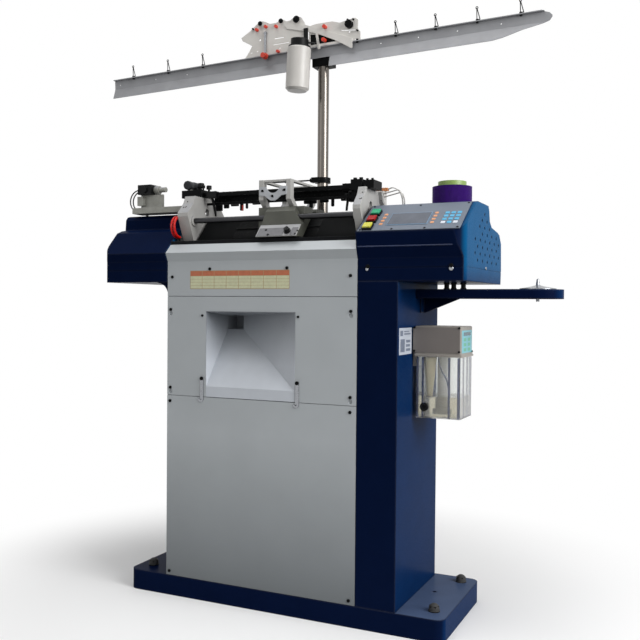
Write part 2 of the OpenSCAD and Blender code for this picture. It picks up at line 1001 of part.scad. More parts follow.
// A fixed post that carries one pulley.
module pulley_post(x) {
    shoulder = belt_z0 - 4 - 0.3;
    top = belt_z0 + belt_h + 4 + 0.3;
    translate([x, pulley_y, 0]) {
        cylinder(h = shoulder, r = 11);
        cylinder(h = top + eps, r = pulley_bore - rod_fit);
        translate([0, 0, top])
            cylinder(h = 4, r = 9, $fn = 6);
    }
}

module drive_pulley() {
    color("silver")
        pulley(pulley_x1);
}

module idler_pulley() {
    color("silver")
        pulley(pulley_x0);
}

module drive_belt() {
    ri = pulley_r + belt_gap;
    ro = ri + belt_t;
    color("black")
        at_head() {
            translate([0, pulley_y, belt_z0])
                difference() {
                    union() {
                        translate([pulley_x0, -ro, 0])
                            cube([pulley_x1 - pulley_x0, 2 * ro, belt_h]);
                        for (x = [pulley_x0, pulley_x1])
                            translate([x, 0, 0])
                                cylinder(h = belt_h, r = ro);
                    }
                    translate([pulley_x0, -ri, -eps])
                        cube([pulley_x1 - pulley_x0, 2 * ri, belt_h + 2 * eps]);
                    for (x = [pulley_x0, pulley_x1])
                        translate([x, 0, -eps])
                            cylinder(h = belt_h + 2 * eps, r = ri);
                }
        }
}

// Yarn stand ----------------------------------------------------------------------------------------

module yarn_pole() {
    color("silver")
        translate([0, front + pole_y, tz + 8])
            cylinder(h = beam_rise - 8 + 58, r = pole_r);
}

module pole_clamps() {
    base_r = 42;
    collar_r = pole_r + 8;
    color("black") {
        // Flange on the table with its bolts.
        translate([0, front + pole_y, tz]) {
            cylinder(h = 8, r = base_r);
            for (a = [45 : 90 : 315])
                rotate([0, 0, a])
                    translate([33.5, 0, 8 - eps])
                        cylinder(h = 5 + eps, r = 5, $fn = 6);
            difference() {
                translate([0, 0, 8 - eps])
                    cylinder(h = 26, r = collar_r);
                translate([0, 0, 8])
                    cylinder(h = 40, r = pole_r + 0.05);
            }
        }
        // Clamp ring that holds the thin side rod.
        at_head()
            difference() {
                union() {
                    translate([0, pole_y, clamp_z])
                        cylinder(h = clamp_h, r = collar_r);
                    box([lug_x, 0], [lug_y - 8, lug_y + 8], [clamp_z, clamp_z + clamp_h]);
                }
                translate([0, pole_y, clamp_z - eps])
                    cylinder(h = clamp_h + 2 * eps, r = pole_r + 0.05);
            }
        // Head block between the pole and the beam.
        difference() {
            on_beam()
                box([-34, 34], [beam_y + beam_t, pole_y + pole_r + 10], [8, 64]);
            translate([0, front + pole_y, tz])
                cylinder(h = beam_rise + 58, r = pole_r + 0.05);
        }
    }
}

module yarn_beam() {
    lip = 10;
    lean = 13;
    bend_z = 36;
    x1 = beam_x1;
    color("darkgray")
        on_beam()
            difference() {
                along_x(beam_x0, x1)
                    polygon([
                        [beam_y - lean, 0], [beam_y - lean + beam_t, 0],
                        [beam_y + beam_t, bend_z], [beam_y + beam_t, beam_h],
                        [beam_y - lip, beam_h], [beam_y - lip, beam_h - beam_t],
                        [beam_y, beam_h - beam_t], [beam_y, bend_z + 1]
                    ]);
                // Notch for the pole.
                box([-62, 34], [beam_y - 40, beam_y + 40], [-eps, bend_z]);
                // Right end, tapered and rounded.
                along_y(beam_y - 40, beam_y + 40)
                    polygon([
                        [x1 - 190, -eps], [x1 - 150, 5], [x1 - 90, 22], [x1 - 30, 33],
                        [x1 - 8, 40], [x1 + eps, 52], [x1 + eps, -eps]
                    ]);
                along_y(beam_y - 40, beam_y + 40)
                    polygon([
                        [x1 - 34, beam_h + eps], [x1 - 8, beam_h - 8], [x1 + eps, beam_h - 18],
                        [x1 + eps, beam_h + eps]
                    ]);
                // Rows of small holes in the web.
                for (x = [beam_x0 + 24, beam_x0 + 190, beam_x0 + 330, x1 - 556, x1 - 426, x1 - 296, x1 - 156])
                    pin_y(x, 52, beam_y - 4, beam_y + beam_t + 4, 2.2);
            }
}

module yarn_guides() {
    wire = 1.4;
    foot = 9;
    height = 40;
    y = beam_y - 5;
    z = beam_h;
    color("dimgray")
        on_beam()
            for (x = guide_x) {
                translate([x, y, z])
                    cylinder(h = 5, r = 4.5);
                translate([x, y, z - beam_t - 4])
                    cylinder(h = 4, r = 4.2);
                bar([x - 1, y, z + 4], [x - 1, y, z + height], wire);
                bar([x + foot, y, z + 3], [x, y, z + height - 1], wire);
                bar([x - 2, y, z + 3.6], [x + foot + 1, y, z + 3.6], wire);
                translate([x - 0.5, y, z + height + 1])
                    rotate([90, 0, 0])
                        rotate_extrude()
                            translate([3.4, 0])
                                circle(r = 1.2, $fn = 16);
            }
}

plate_y = [beam_y - 10, beam_y - 7];    // stand plates, on the beam's upper lip
arm_pin = [-206, 148];                  // pivot of the sensing arm
arm_pin_r = 4;

module stand_plates() {
    color("gainsboro")
        on_beam() {
            difference() {
                along_y(plate_y[0], plate_y[1])
                    polygon([
                        [-292, beam_h], [-281, 84], [-271, 98], [-262, 112], [-300, 134],
                        [-306, 146], [-273, 163], [-240, 186], [-220, 193], [-206, 188],
                        [-190, 179], [-164, 178], [-144, 189], [-124, 177], [-110, 178],
                        [-98, 185], [-82, 189], [-66, 180], [-56, 164], [-48, 144],
                        [-44, beam_h]
                    ]);
                along_y(plate_y[0] - eps, plate_y[1] + eps) {
                    translate([-172, 122])
                        square([36, 4]);
                    translate([-178, 102])
                        square([62, 3]);
                    for (p = [[-213, 108], [-265, 88], [-241, 90], [-152, 88]])
                        translate(p)
                            circle(r = 2.6);
                    translate([-230, 128])
                        circle(r = 4);
                    translate(arm_pin)
                        circle(r = arm_pin_r + rod_fit);
                }
            }
            difference() {
                along_y(plate_y[0], plate_y[1])
                    polygon([
                        [-42, beam_h], [-36, 146], [-10, 150], [50, 149], [77, 140], [126, 148],
                        [136, 147], [144, 139], [142, 110], [151, 99], [152, beam_h]
                    ]);
                along_y(plate_y[0] - eps, plate_y[1] + eps) {
                    // Window of the drive box.
                    polygon([[-34, 80], [-34, 117], [60, 102], [60, 80]]);
                    translate([82, 112])
                        rotate([0, 0, -7])
                            square([52, 3]);
                    translate([112, 104])
                        circle(r = 3);
                    // Room for the yarn guide's foot.
                    translate([guide_x[3] - 6, beam_h - eps])
                        square([12, 6]);
                }
            }
            // Straight arm across the front of both plates.
            along_y(plate_y[0] - 3, plate_y[0])
                polygon([
                    [-126, 162], [-124, 150], [-60, 133], [-3, 114], [60, 83], [97, 61],
                    [118, 48], [122, 48], [122, 80], [97, 92], [40, 114], [-3, 133], [-48, 151],
                    [-108, 168]
                ]);
            // Strut that ties the arm to the beam over the pole.
            along_y(plate_y[0] - 3, plate_y[0])
                polygon([[-13, 118], [-5, 118], [4, 62], [-5, 62]]);
        }
}

module tension_disc(x, z, r) {
    pin_y(x, z, plate_y[0] - 4, plate_y[0], 3);
    pin_y(x, z, plate_y[0] - 7, plate_y[0] - 4, r);
    pin_y(x, z, plate_y[0] - 10, plate_y[0] - 7, r - 2);
    pin_y(x, z, plate_y[0] - 16, plate_y[0] - 10, 2.5);
}

module tension_units() {
    color("dimgray")
        on_beam() {
            tension_disc(-226, 184, 8);
            tension_disc(-144, 180, 8);
            tension_disc(-84, 176, 12);
            // Feed roller, its pins and the drive box behind the window.
            pin_y(114, 127, plate_y[0] - 16, plate_y[0], 13);
            for (p = [[-256, 170], [108, 144], [128, 142], [142, 103]])
                pin_y(p[0], p[1], plate_y[0] - 7, plate_y[0], 3);
            box([-40, 66], [plate_y[1], plate_y[1] + 34], [76, 122]);
        }
}

module tension_knobs() {
    color("orangered")
        on_beam() {
            for (p = [[-240, 164], [-204, 170], [-163, 164]])
                pin_y(p[0], p[1], plate_y[0] - 10, plate_y[0], 5.5);
            pin_y(-209, 67, plate_y[0] - 6, plate_y[0], 11);
            pin_y(-209, 67, plate_y[0] - 22, plate_y[0] - 6, 9);
            pin_y(-157, 76, plate_y[0] - 12, plate_y[0], 5);
            pin_y(24, 133, plate_y[0] - 14, plate_y[0], 6.5);
            pin_y(20, 89, plate_y[0] - 14, plate_y[1], 6.5);
        }
}

module sensing_arm() {
    l = 66;
    w = 8;
    t = 3;
    gap = 3.6;                          // keeps the arm clear of the slanting arm plate
    y1 = plate_y[0] - gap;
    color("whitesmoke")
        on_beam()
            translate([arm_pin[0], 0, arm_pin[1]])
                rotate([0, 90 + beam_tilt, 0]) {
                    pin_y(0, 0, y1, plate_y[1] + 2, arm_pin_r);
                    pin_y(0, 0, y1 - t, plate_y[0] - 0.4, arm_pin_r + 1.5);
                    box([0, l], [y1 - t, y1], [-w / 2, w / 2]);
                    pin_y(l, 0, y1 - t, y1, w / 2);
                }
}

bottle_x = -60;                         // foot of the bottle
bottle_y = beam_y - 66;
bottle_r = 40;
bottle_z = [-87, 58];                   // bottle's lower and upper end, from the beam's lower edge
bottle_lean = 4.5;
cap_h = 24;
cap_r = 30;

// Frame of the leaning bottle: its axis is Z, its foot at Z = 0.
module on_bottle() {
    on_beam()
        translate([bottle_x, bottle_y, bottle_z[0]])
            rotate([0, bottle_lean, 0])
                children();
}

module yarn_bottle() {
    shoulder = 8;
    wall = 2;
    color("white")
        on_bottle()
                rotate_extrude()
                    polygon([
                        [0, 0], [bottle_r - shoulder, 0], [bottle_r, shoulder],
                        [bottle_r, bottle_z[1] - bottle_z[0] - 3],
                        [bottle_r - 3, bottle_z[1] - bottle_z[0]],
                        [bottle_r - 3 - wall, bottle_z[1] - bottle_z[0]],
                        [bottle_r - wall, bottle_z[1] - bottle_z[0] - 4],
                        [bottle_r - wall, shoulder + 1],
                        [bottle_r - shoulder - 1, wall], [0, wall]
                    ]);
}

module bottle_cap() {
    h = bottle_z[1] - bottle_z[0];
    arm_x = [bottle_x + 4, bottle_x + 20];
    arm_z = bottle_z[1] + cap_h + 4;
    color("black") {
        on_bottle()
            translate([0, 0, h]) {
                cylinder(h = 5, r = bottle_r - 3);
                translate([0, 0, 5 - eps])
                    cylinder(h = cap_h, r = cap_r);
            }
        on_beam() {
            // Bracket that carries the bottle from the arm plate in front of the beam.
            box(arm_x, [bottle_y, plate_y[0] - 3], [arm_z - 4, arm_z + 5]);
            box(arm_x, [plate_y[0] - 6, plate_y[0] - 3], [arm_z - 4, arm_z + 54]);
            // Stay from the cap to the foot of the strut.
            bar([arm_x[1] - 6, bottle_y + 14, arm_z - 6], [-8, plate_y[0] - 6, 82], 3.2);
        }
    }
}

// Feeder drive at the left end of the rails ------------------------------------------------------------

feed_x0 = -622;
feed_bar = [107, 127];
plate_top = 178;
motor_z = [178, 212];
loop_z = 156;

module feeder_motor() {
    color("black")
        at_head() {
            box([feed_x0, feed_x0 + 56], [130, 190], motor_z);
            pin_y(feed_x0 + 28, 195, 124, 130, 12);
        }
}

module feeder_bracket() {
    color("darkgray")
        at_head() {
            box([feed_x0, bracket_x0 - web_t], [100, 160], feed_bar);
            box([feed_x0, feed_x0 + 92], [150, 160], [feed_bar[1] - eps, plate_top]);
            box([feed_x0 - 6, feed_x0 + 18], [136, 150], [140, 172]);
            pin_x(160, 195, feed_x0 + 56, feed_x0 + 74, 14);
            pin_x(160, 195, feed_x0 + 74, feed_x0 + 100, 9);
            // Foot on the left housing.
            translate([feed_x0 + 30, 145, 101])
                cylinder(h = feed_bar[0] - 101 + eps, r = 5);
            // Round yarn winder on the left block.
            pin_y(rail_x0 + 21, block_z1 + 18, 102, 158, 14);
            box([rail_x0 + 15, rail_x0 + 27], [112, 148], [block_z1, block_z1 + 8]);
        }
}

module half_loop(r_loop, r_tube) {
    rotate([90, 0, 0])
        rotate([0, 0, 90])
            rotate_extrude(angle = 180)
                translate([r_loop, 0])
                    circle(r = r_tube, $fn = 24);
}

hose_r = 4;
hose_bend = 34;
hose_y = 40;
hose_z = 48;

module cable_loops() {
    color("black")
        at_head() {
            for (p = [[140, 39], [152, 36]])
                translate([feed_x0, p[0], loop_z])
                    half_loop(p[1], 2.2);
            // Upper manifold and lower plugs of the red hoses.
            box([hose_x[0] - 6, bracket_x0 - web_t], [hose_y, hose_y + 14],
                [hose_z + hose_bend - 8, hose_z + hose_bend + 8]);
            for (x = hose_x) {
                pin_y(x, hose_z - hose_bend, hose_y, hose_y + 16, 5);
                box([x - 3, x + 3], [hose_y + 4, hose_y + 12], [0, hose_z - hose_bend]);
            }
        }
}

module red_hoses() {
    color("red")
        at_head()
            for (x = hose_x)
                translate([x, hose_y, hose_z])
                    rotate([0, 0, 90])
                        half_loop(hose_bend, hose_r);
}

module signal_wiring() {
    post_x = [panel_x1 - 93, panel_x1 - 47];
    post_y = [336, 366];
    post_z = 176;
    wire_r = 2;
    color("whitesmoke")
        at_head() {
            box(post_x, post_y, [0, post_z]);
            box([post_x[0] - 14, post_x[0] + eps], [post_y[0], post_y[1] - 8], [post_z - 28, post_z - 6]);
            // Two cables that bend down onto the right housing.
            for (k = [0 : 1])
                translate([post_x[1] - 6, post_y[0] + 8 + 14 * k, 0])
                    rotate([0, 0, -45])
                        bent_cable(110 + 10 * k, post_z - 10 - 8 * k, 46 - 8 * k, wire_r);
        }
}

// A cable that runs level, turns down through a quarter circle and ends in a gland.
module bent_cable(l, z, r_bend, r) {
    land = 101;                         // top of the housing
    pin_x(0, z, 0, l, r);
    translate([l, 0, z - r_bend])
        rotate([90, 0, 0])
            rotate_extrude(angle = 90)
                translate([r_bend, 0])
                    circle(r = r, $fn = 24);
    translate([l + r_bend, 0, land])
        cylinder(h = z - r_bend - land, r = r);
    translate([l + r_bend, 0, land])
        cylinder(h = 5, r = r + 1.6);
}

// Lubricator ------------------------------------------------------------------------------------------

lube_w = tank_w + 7;
lube_d = 137;
lube_h = 92;
tank_d = lube_d - 8;
tank_x = [lube_x0 + 4, lube_x0 + 4 + tank_w];
tank_y = [lube_y + 4, lube_y + 4 + tank_d];

module lubricator_body() {
    flange = 4;
    flange_t = 8;
    color("beige") {
        box([lube_x0, lube_x0 + lube_w], [lube_y, lube_y + lube_d], [lube_z, lube_z + lube_h]);
        box([lube_x0 - 2, lube_x0 + lube_w + flange], [lube_y - flange, lube_y + lube_d + flange],
            [lube_z, lube_z + flange_t]);
        // Mounting plate on the pedestal.
        box([side_x, lube_x0 + eps], [lube_y + 10, lube_y + lube_d - 10],
            [lube_z - 30, lube_z + lube_h + 14]);
        // Round filler cap on the front face.
        pin_y(lube_x0 + 24, lube_z + 46, lube_y - 9, lube_y + eps, 13);
    }
}

module lubricator_tank() {
    color([0.85, 0.87, 0.85, 0.35])
        difference() {
            box(tank_x, tank_y, [lube_z - tank_h, lube_z]);
            box([tank_x[0] + tank_t, tank_x[1] - tank_t], [tank_y[0] + tank_t, tank_y[1] - tank_t],
                [lube_z - tank_h + tank_t + 1, lube_z + eps]);
        }
}

module lubricator_pump() {
    x = (tank_x[0] + tank_x[1]) / 2;
    y = (tank_y[0] + tank_y[1]) / 2;
    pump_l = tank_h - 24;
    color("lightgray") {
        translate([x, y, lube_z - pump_l])
            cylinder(h = pump_l, r = 20);
        translate([x, y, lube_z - pump_l - 14])
            cylinder(h = 16, r = 28);
        translate([x - 44, y - 34, lube_z - 120])
            cylinder(h = 120, r = 4);
    }
}

// Yarn tray and package -----------------------------------------------------------------------------------

module yarn_tray() {
    wall = 3;
    r = tray_d / 2;
    x1 = side_x + tray_l - r;
    z0 = tray_z1 - tray_h;
    color("midnightblue") {
        difference() {
            union() {
                box([side_x, x1], [tray_y - r, tray_y + r], [z0, tray_z1]);
                translate([x1, tray_y, z0])
                    cylinder(h = tray_h, r = r);
            }
            box([side_x + wall, x1], [tray_y - r + wall, tray_y + r - wall], [z0 - eps, tray_z1 - wall]);
            translate([x1, tray_y, z0 - eps])
                cylinder(h = tray_h - wall + eps, r = r - wall);
            translate([side_x + 355, tray_y, z0])
                cylinder(h = tray_h + eps, r = 5.3);
        }
        // Bracket down the pedestal's side.
        along_y(tray_y - 4, tray_y + 4)
            polygon([
                [side_x, tray_z1 - wall], [side_x, z0 - 44], [side_x + 10, z0 - 44],
                [side_x + 120, z0], [side_x + 120, tray_z1 - wall]
            ]);
        box([side_x, side_x + 4], [tray_y - 30, tray_y + 30], [z0 - 44, z0 + eps]);
    }
}

module tray_fittings() {
    disc_x = side_x + 355;
    top = tz - wing_drop;
    color("gainsboro") {
        for (x = [88, 110, 140])
            translate([side_x + x, tray_y - 40, tray_z1])
                cylinder(h = top - tray_z1, r = 6);
        translate([disc_x, tray_y, tray_z1])
            rotate_extrude()
                polygon([[0, 0], [54, 0], [54, 3], [20, 9], [6, 13], [4, 30], [0, 33]]);
        translate([disc_x, tray_y, tray_z1 - tray_h - 8])
            cylinder(h = tray_h + 8 + eps, r = 5);
        translate([disc_x, tray_y, tray_z1 - 9])
            cylinder(h = 6, r = 9, $fn = 6);
    }
}

cone_x = 503;
cone_y = 198;
cone_z = 101;

module yarn_tube() {
    h = 70;
    r = 43;
    color("mediumseagreen")
        at_head()
            translate([cone_x, cone_y, cone_z])
                difference() {
                    cylinder(h = h, r = r);
                    translate([0, 0, 4])
                        cylinder(h = h, r = r - 3);
                }
}

module yarn_package() {
    h = 52;
    r = 60;
    color("purple")
        at_head()
            translate([cone_x, cone_y, cone_z + 2])
                difference() {
                    cylinder(h = h, r = r);
                    translate([0, 0, -eps])
                        cylinder(h = h + 2 * eps, r = 43.01);
                }
}

base_plinth();
levelling_bolts();
pedestal_shell();
rear_panel();
upper_front_cover();
middle_front_panel();
lower_front_panel();
panel_screws();
chute_funnel();
bed_table();
left_wing_cover();
right_wing_cover();
console_panel();
console_display();
keypad_keys();
button_housings();
left_end_bracket();
right_end_bracket();
guide_rods();
front_needle_bed();
rear_needle_bed();
needles();
yarn_rails();
rail_end_blocks();
yarn_pole();
pole_clamps();
yarn_beam();
yarn_guides();
stand_plates();
tension_units();
tension_knobs();
yarn_bottle();
bottle_cap();
feeder_motor();
feeder_bracket();
cable_loops();
red_hoses();
signal_wiring();
lubricator_body();
lubricator_tank();
lubricator_pump();
yarn_tray();
tray_fittings();
yarn_tube();
yarn_package();
carriage_arch();
carriage_cam_blocks();
carriage_yoke();
stitch_knob();
yarn_carrier_left();
yarn_carrier_right();
green_button();
red_button();
yellow_button();
bag_hook_left();
bag_hook_right();
sensing_arm();
drive_belt();
drive_pulley();
idler_pulley();
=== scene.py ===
"""Looks of a glove knitting machine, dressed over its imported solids.

Everything is in metres in the row's own frame: X along the needle beds, Y from the front to the
back, Z up, origin in the middle of the plinth's underside.
"""

import json
import logging
import math
from collections.abc import Iterable, Sequence
from dataclasses import dataclass, field
from enum import Enum

import bmesh
import bpy
from mathutils import Matrix, Vector


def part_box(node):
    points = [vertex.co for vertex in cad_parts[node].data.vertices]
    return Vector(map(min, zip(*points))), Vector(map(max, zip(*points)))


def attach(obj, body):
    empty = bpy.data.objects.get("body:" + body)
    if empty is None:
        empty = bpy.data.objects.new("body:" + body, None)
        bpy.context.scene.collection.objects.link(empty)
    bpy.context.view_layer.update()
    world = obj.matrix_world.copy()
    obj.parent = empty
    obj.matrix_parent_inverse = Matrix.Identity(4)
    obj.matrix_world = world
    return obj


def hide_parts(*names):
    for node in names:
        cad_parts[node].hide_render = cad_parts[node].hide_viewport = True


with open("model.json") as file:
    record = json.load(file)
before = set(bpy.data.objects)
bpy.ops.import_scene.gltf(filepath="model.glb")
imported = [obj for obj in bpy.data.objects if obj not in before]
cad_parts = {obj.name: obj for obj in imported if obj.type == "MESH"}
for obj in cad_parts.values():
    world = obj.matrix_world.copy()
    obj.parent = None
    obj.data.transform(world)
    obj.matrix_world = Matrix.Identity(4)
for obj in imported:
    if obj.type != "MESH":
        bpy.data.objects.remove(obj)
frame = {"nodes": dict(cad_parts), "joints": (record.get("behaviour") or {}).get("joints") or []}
log = logging.getLogger("knitting_machine")

MM = 0.001
UP = Vector((0, 0, 1))
FRONT = Vector((0, -1, 0))
BACK = Vector((0, 1, 0))
RIGHT = Vector((1, 0, 0))

Colour = tuple[float, float, float, float]
Mesh = bmesh.types.BMesh
Pair = tuple[float, float]
Socket = bpy.types.NodeSocket
Triple = tuple[float, float, float]
Tree = bpy.types.NodeTree
# Reach along X, back from the front plane and up from the table, and radius of its corners.
Block = tuple[Pair, Pair, Pair, float]


class Body(Enum):
    """The rigid bodies that the script names."""

    FRAME = "frame"
    CARRIAGE = "carriage"
    KNOB = "knob"
    GREEN = "button_green"


def mm(*sizes: float) -> tuple[float, ...]:
    """Sizes given in millimetres, in metres."""
    return tuple(size * MM for size in sizes)


def rings_mm(*rings: Pair) -> list[Pair]:
    """A turned profile given in millimetres, in metres."""
    return [(radius * MM, height * MM) for radius, height in rings]


# Node helpers ------------------------------------------------------------------------------------

# A Mix of colours takes its share on input 0 and its colours on inputs 6 and 7, and gives
# output 2.


def linear(hex_colour: str) -> Colour:
    """Turn an sRGB hex colour to linear light.

    Args:
        hex_colour: six hex digits after a hash.

    Returns:
        Red, green, blue and an alpha of 1.
    """
    parts = [int(hex_colour[i : i + 2], 16) / 255 for i in (1, 3, 5)]
    red, green, blue = (
        p / 12.92 if p <= 0.04045 else ((p + 0.055) / 1.055) ** 2.4 for p in parts
    )
    return red, green, blue, 1.0


def add_node(
    tree: Tree, kind: str, inputs: dict | None = None, **settings: object
) -> bpy.types.Node:
    """Add one node with its settings and links.

    Args:
        tree: the node tree it goes in.
        kind: the node's type name.
        inputs: socket name or index to a value, or to an output socket to link from.
        **settings: attributes of the node.

    Returns:
        The new node.
    """
    node = tree.nodes.new(kind)
    for name, value in settings.items():
        setattr(node, name, value)
    for name, value in (inputs or {}).items():
        if isinstance(value, bpy.types.NodeSocket):
            tree.links.new(value, node.inputs[name])
        else:
            node.inputs[name].default_value = value
    return node


def per_metre(size_mm: float) -> float:
    """Scale of a texture whose features are size_mm across, in object coordinates."""
    return 1.0 / (size_mm * MM)


# Finishes ----------------------------------------------------------------------------------------

# Noise seldom leaves this span.
NOISE = (0.3, 0.7)
# How far the rounded normal agrees with the flat one: away from an edge, and on it.
EDGE = (0.998, 0.86)


@dataclass(frozen=True)
class Finish:
    """A surface finish: shade, gloss, and the grain that its making leaves.

    Attributes:
        name: what the real material is, and how its surface was made.
        shade: its colour, as sRGB hex.
        roughness: its middle roughness.
        metallic: 1 for bare metal, less where a film of oil hides it.
        ior: its index of refraction.
        grain_mm: width of the fine grain.
        grain_depth_mm: height of the fine grain.
        mottle_mm: width of its lighter and darker patches.
        mottle: how much the patches vary it.
        edge_mm: radius to which its edges are rounded.
        edge_wear_and_highlight: how much lighter its edges are: partly rubbed wear, partly a
            painted highlight along edges and creases.
        stretch: scale of the grain along X, Y and Z; a low number draws it out.
        coat: strength of a clear coat.
        specular: strength of its mirror reflection.
        gloss_spread: how far the grain moves the roughness either way.
        worn_or_lit_paler: how much paler a worn edge, with its painted highlight, is.
    """

    name: str
    shade: str
    roughness: float
    metallic: float = 0.0
    ior: float = 1.5
    grain_mm: float = 1.2
    grain_depth_mm: float = 0.02
    mottle_mm: float = 60.0
    mottle: float = 0.06
    edge_mm: float = 1.0
    edge_wear_and_highlight: float = 0.15
    stretch: Triple = (1.0, 1.0, 1.0)
    coat: float = 0.0
    specular: float = 0.5
    gloss_spread: float = 0.07
    worn_or_lit_paler: float = 0.3

    def build(self) -> bpy.types.Material:
        """Make the material.

        Returns:
            A material whose colour, gloss and bump come from nodes.
        """
        material = bpy.data.materials.new(self.name)
        material.use_nodes = True
        tree = material.node_tree
        tree.nodes.clear()
        place = add_node(tree, "ShaderNodeTexCoord").outputs["Object"]
        face = add_node(tree, "ShaderNodeNewGeometry").outputs["Normal"]
        rounded = add_node(
            tree, "ShaderNodeBevel", {"Radius": self.edge_mm * MM}, samples=4
        ).outputs["Normal"]
        grain = self.grain(tree, place)
        colour = self.uneven(tree, place, self.colour(tree, place, rounded))
        gloss = add_node(
            tree, "ShaderNodeMapRange",
            {
                "Value": grain, "From Min": NOISE[0], "From Max": NOISE[1],
                "To Min": max(self.roughness - self.gloss_spread, 0.02),
                "To Max": self.roughness + self.gloss_spread,
            },
        ).outputs["Result"]
        bump = add_node(
            tree, "ShaderNodeBump",
            {"Height": grain, "Distance": self.grain_depth_mm * MM, "Normal": rounded},
        ).outputs["Normal"]
        shader = add_node(
            tree, "ShaderNodeBsdfPrincipled",
            {
                "Base Color": self.wear_and_highlight(tree, colour, rounded, face), "Roughness": gloss,
                "Metallic": self.metallic, "IOR": self.ior, "Coat Weight": self.coat,
                "Coat Roughness": 0.2, "Specular IOR Level": self.specular, "Normal": bump,
            },
        )
        self.extend(shader)
        add_node(tree, "ShaderNodeOutputMaterial", {"Surface": shader.outputs["BSDF"]})
        return material

    def grain(self, tree: Tree, place: Socket) -> Socket:
        """Height of the fine surface grain, 0 to 1.

        Args:
            tree: the material's nodes.
            place: object coordinates.

        Returns:
            The height's socket.
        """
        stretched = add_node(
            tree, "ShaderNodeMapping", {"Vector": place, "Scale": self.stretch}
        ).outputs["Vector"]
        return add_node(
            tree, "ShaderNodeTexNoise",
            {"Vector": stretched, "Scale": per_metre(self.grain_mm), "Detail": 3.0},
        ).outputs["Fac"]

    def colour(self, tree: Tree, place: Socket, face: Socket) -> Socket | Colour:
        """Colour before unevenness, edge wear and painted edge highlight.

        Args:
            tree: the material's nodes.
            place: object coordinates.
            face: the surface's normal.

        Returns:
            A colour, or the socket that gives it.
        """
        return linear(self.shade)

    def uneven(self, tree: Tree, place: Socket, colour: Socket | Colour) -> Socket:
        """Slow patches of slightly lighter and darker shade.

        Args:
            tree: the material's nodes.
            place: object coordinates.
            colour: what to vary.

        Returns:
            The varied colour's socket.
        """
        patches = add_node(
            tree, "ShaderNodeTexNoise",
            {"Vector": place, "Scale": per_metre(self.mottle_mm), "Detail": 4.0},
        ).outputs["Fac"]
        value = add_node(
            tree, "ShaderNodeMapRange",
            {
                "Value": patches, "From Min": NOISE[0], "From Max": NOISE[1],
                "To Min": 1.0 - self.mottle, "To Max": 1.0 + self.mottle,
            },
        ).outputs["Result"]
        return add_node(
            tree, "ShaderNodeHueSaturation", {"Color": colour, "Value": value}
        ).outputs["Color"]

    def wear_and_highlight(self, tree: Tree, colour: Socket, rounded: Socket, face: Socket) -> Socket:
        """Lighten the edges a little: rubbed wear, and a painted highlight along edges and creases.

        Args:
            tree: the material's nodes.
            colour: colour away from the edges.
            rounded: normal with rounded edges.
            face: normal as the mesh has it.

        Returns:
            The colour's socket.
        """
        likeness = add_node(
            tree, "ShaderNodeVectorMath", {0: rounded, 1: face}, operation="DOT_PRODUCT"
        ).outputs["Value"]
        edge = add_node(
            tree, "ShaderNodeMapRange",
            {"Value": likeness, "From Min": EDGE[0], "From Max": EDGE[1], "To Max": self.edge_wear_and_highlight},
        ).outputs["Result"]
        worn_or_lit_colour = [c + (1 - c) * self.worn_or_lit_paler for c in linear(self.shade)[:3]]
        return add_node(
            tree, "ShaderNodeMix", {0: edge, 6: colour, 7: (*worn_or_lit_colour, 1.0)}, data_type="RGBA"
        ).outputs[2]

    def extend(self, shader: bpy.types.Node) -> None:
        """Set what only some finishes have, such as transmission."""


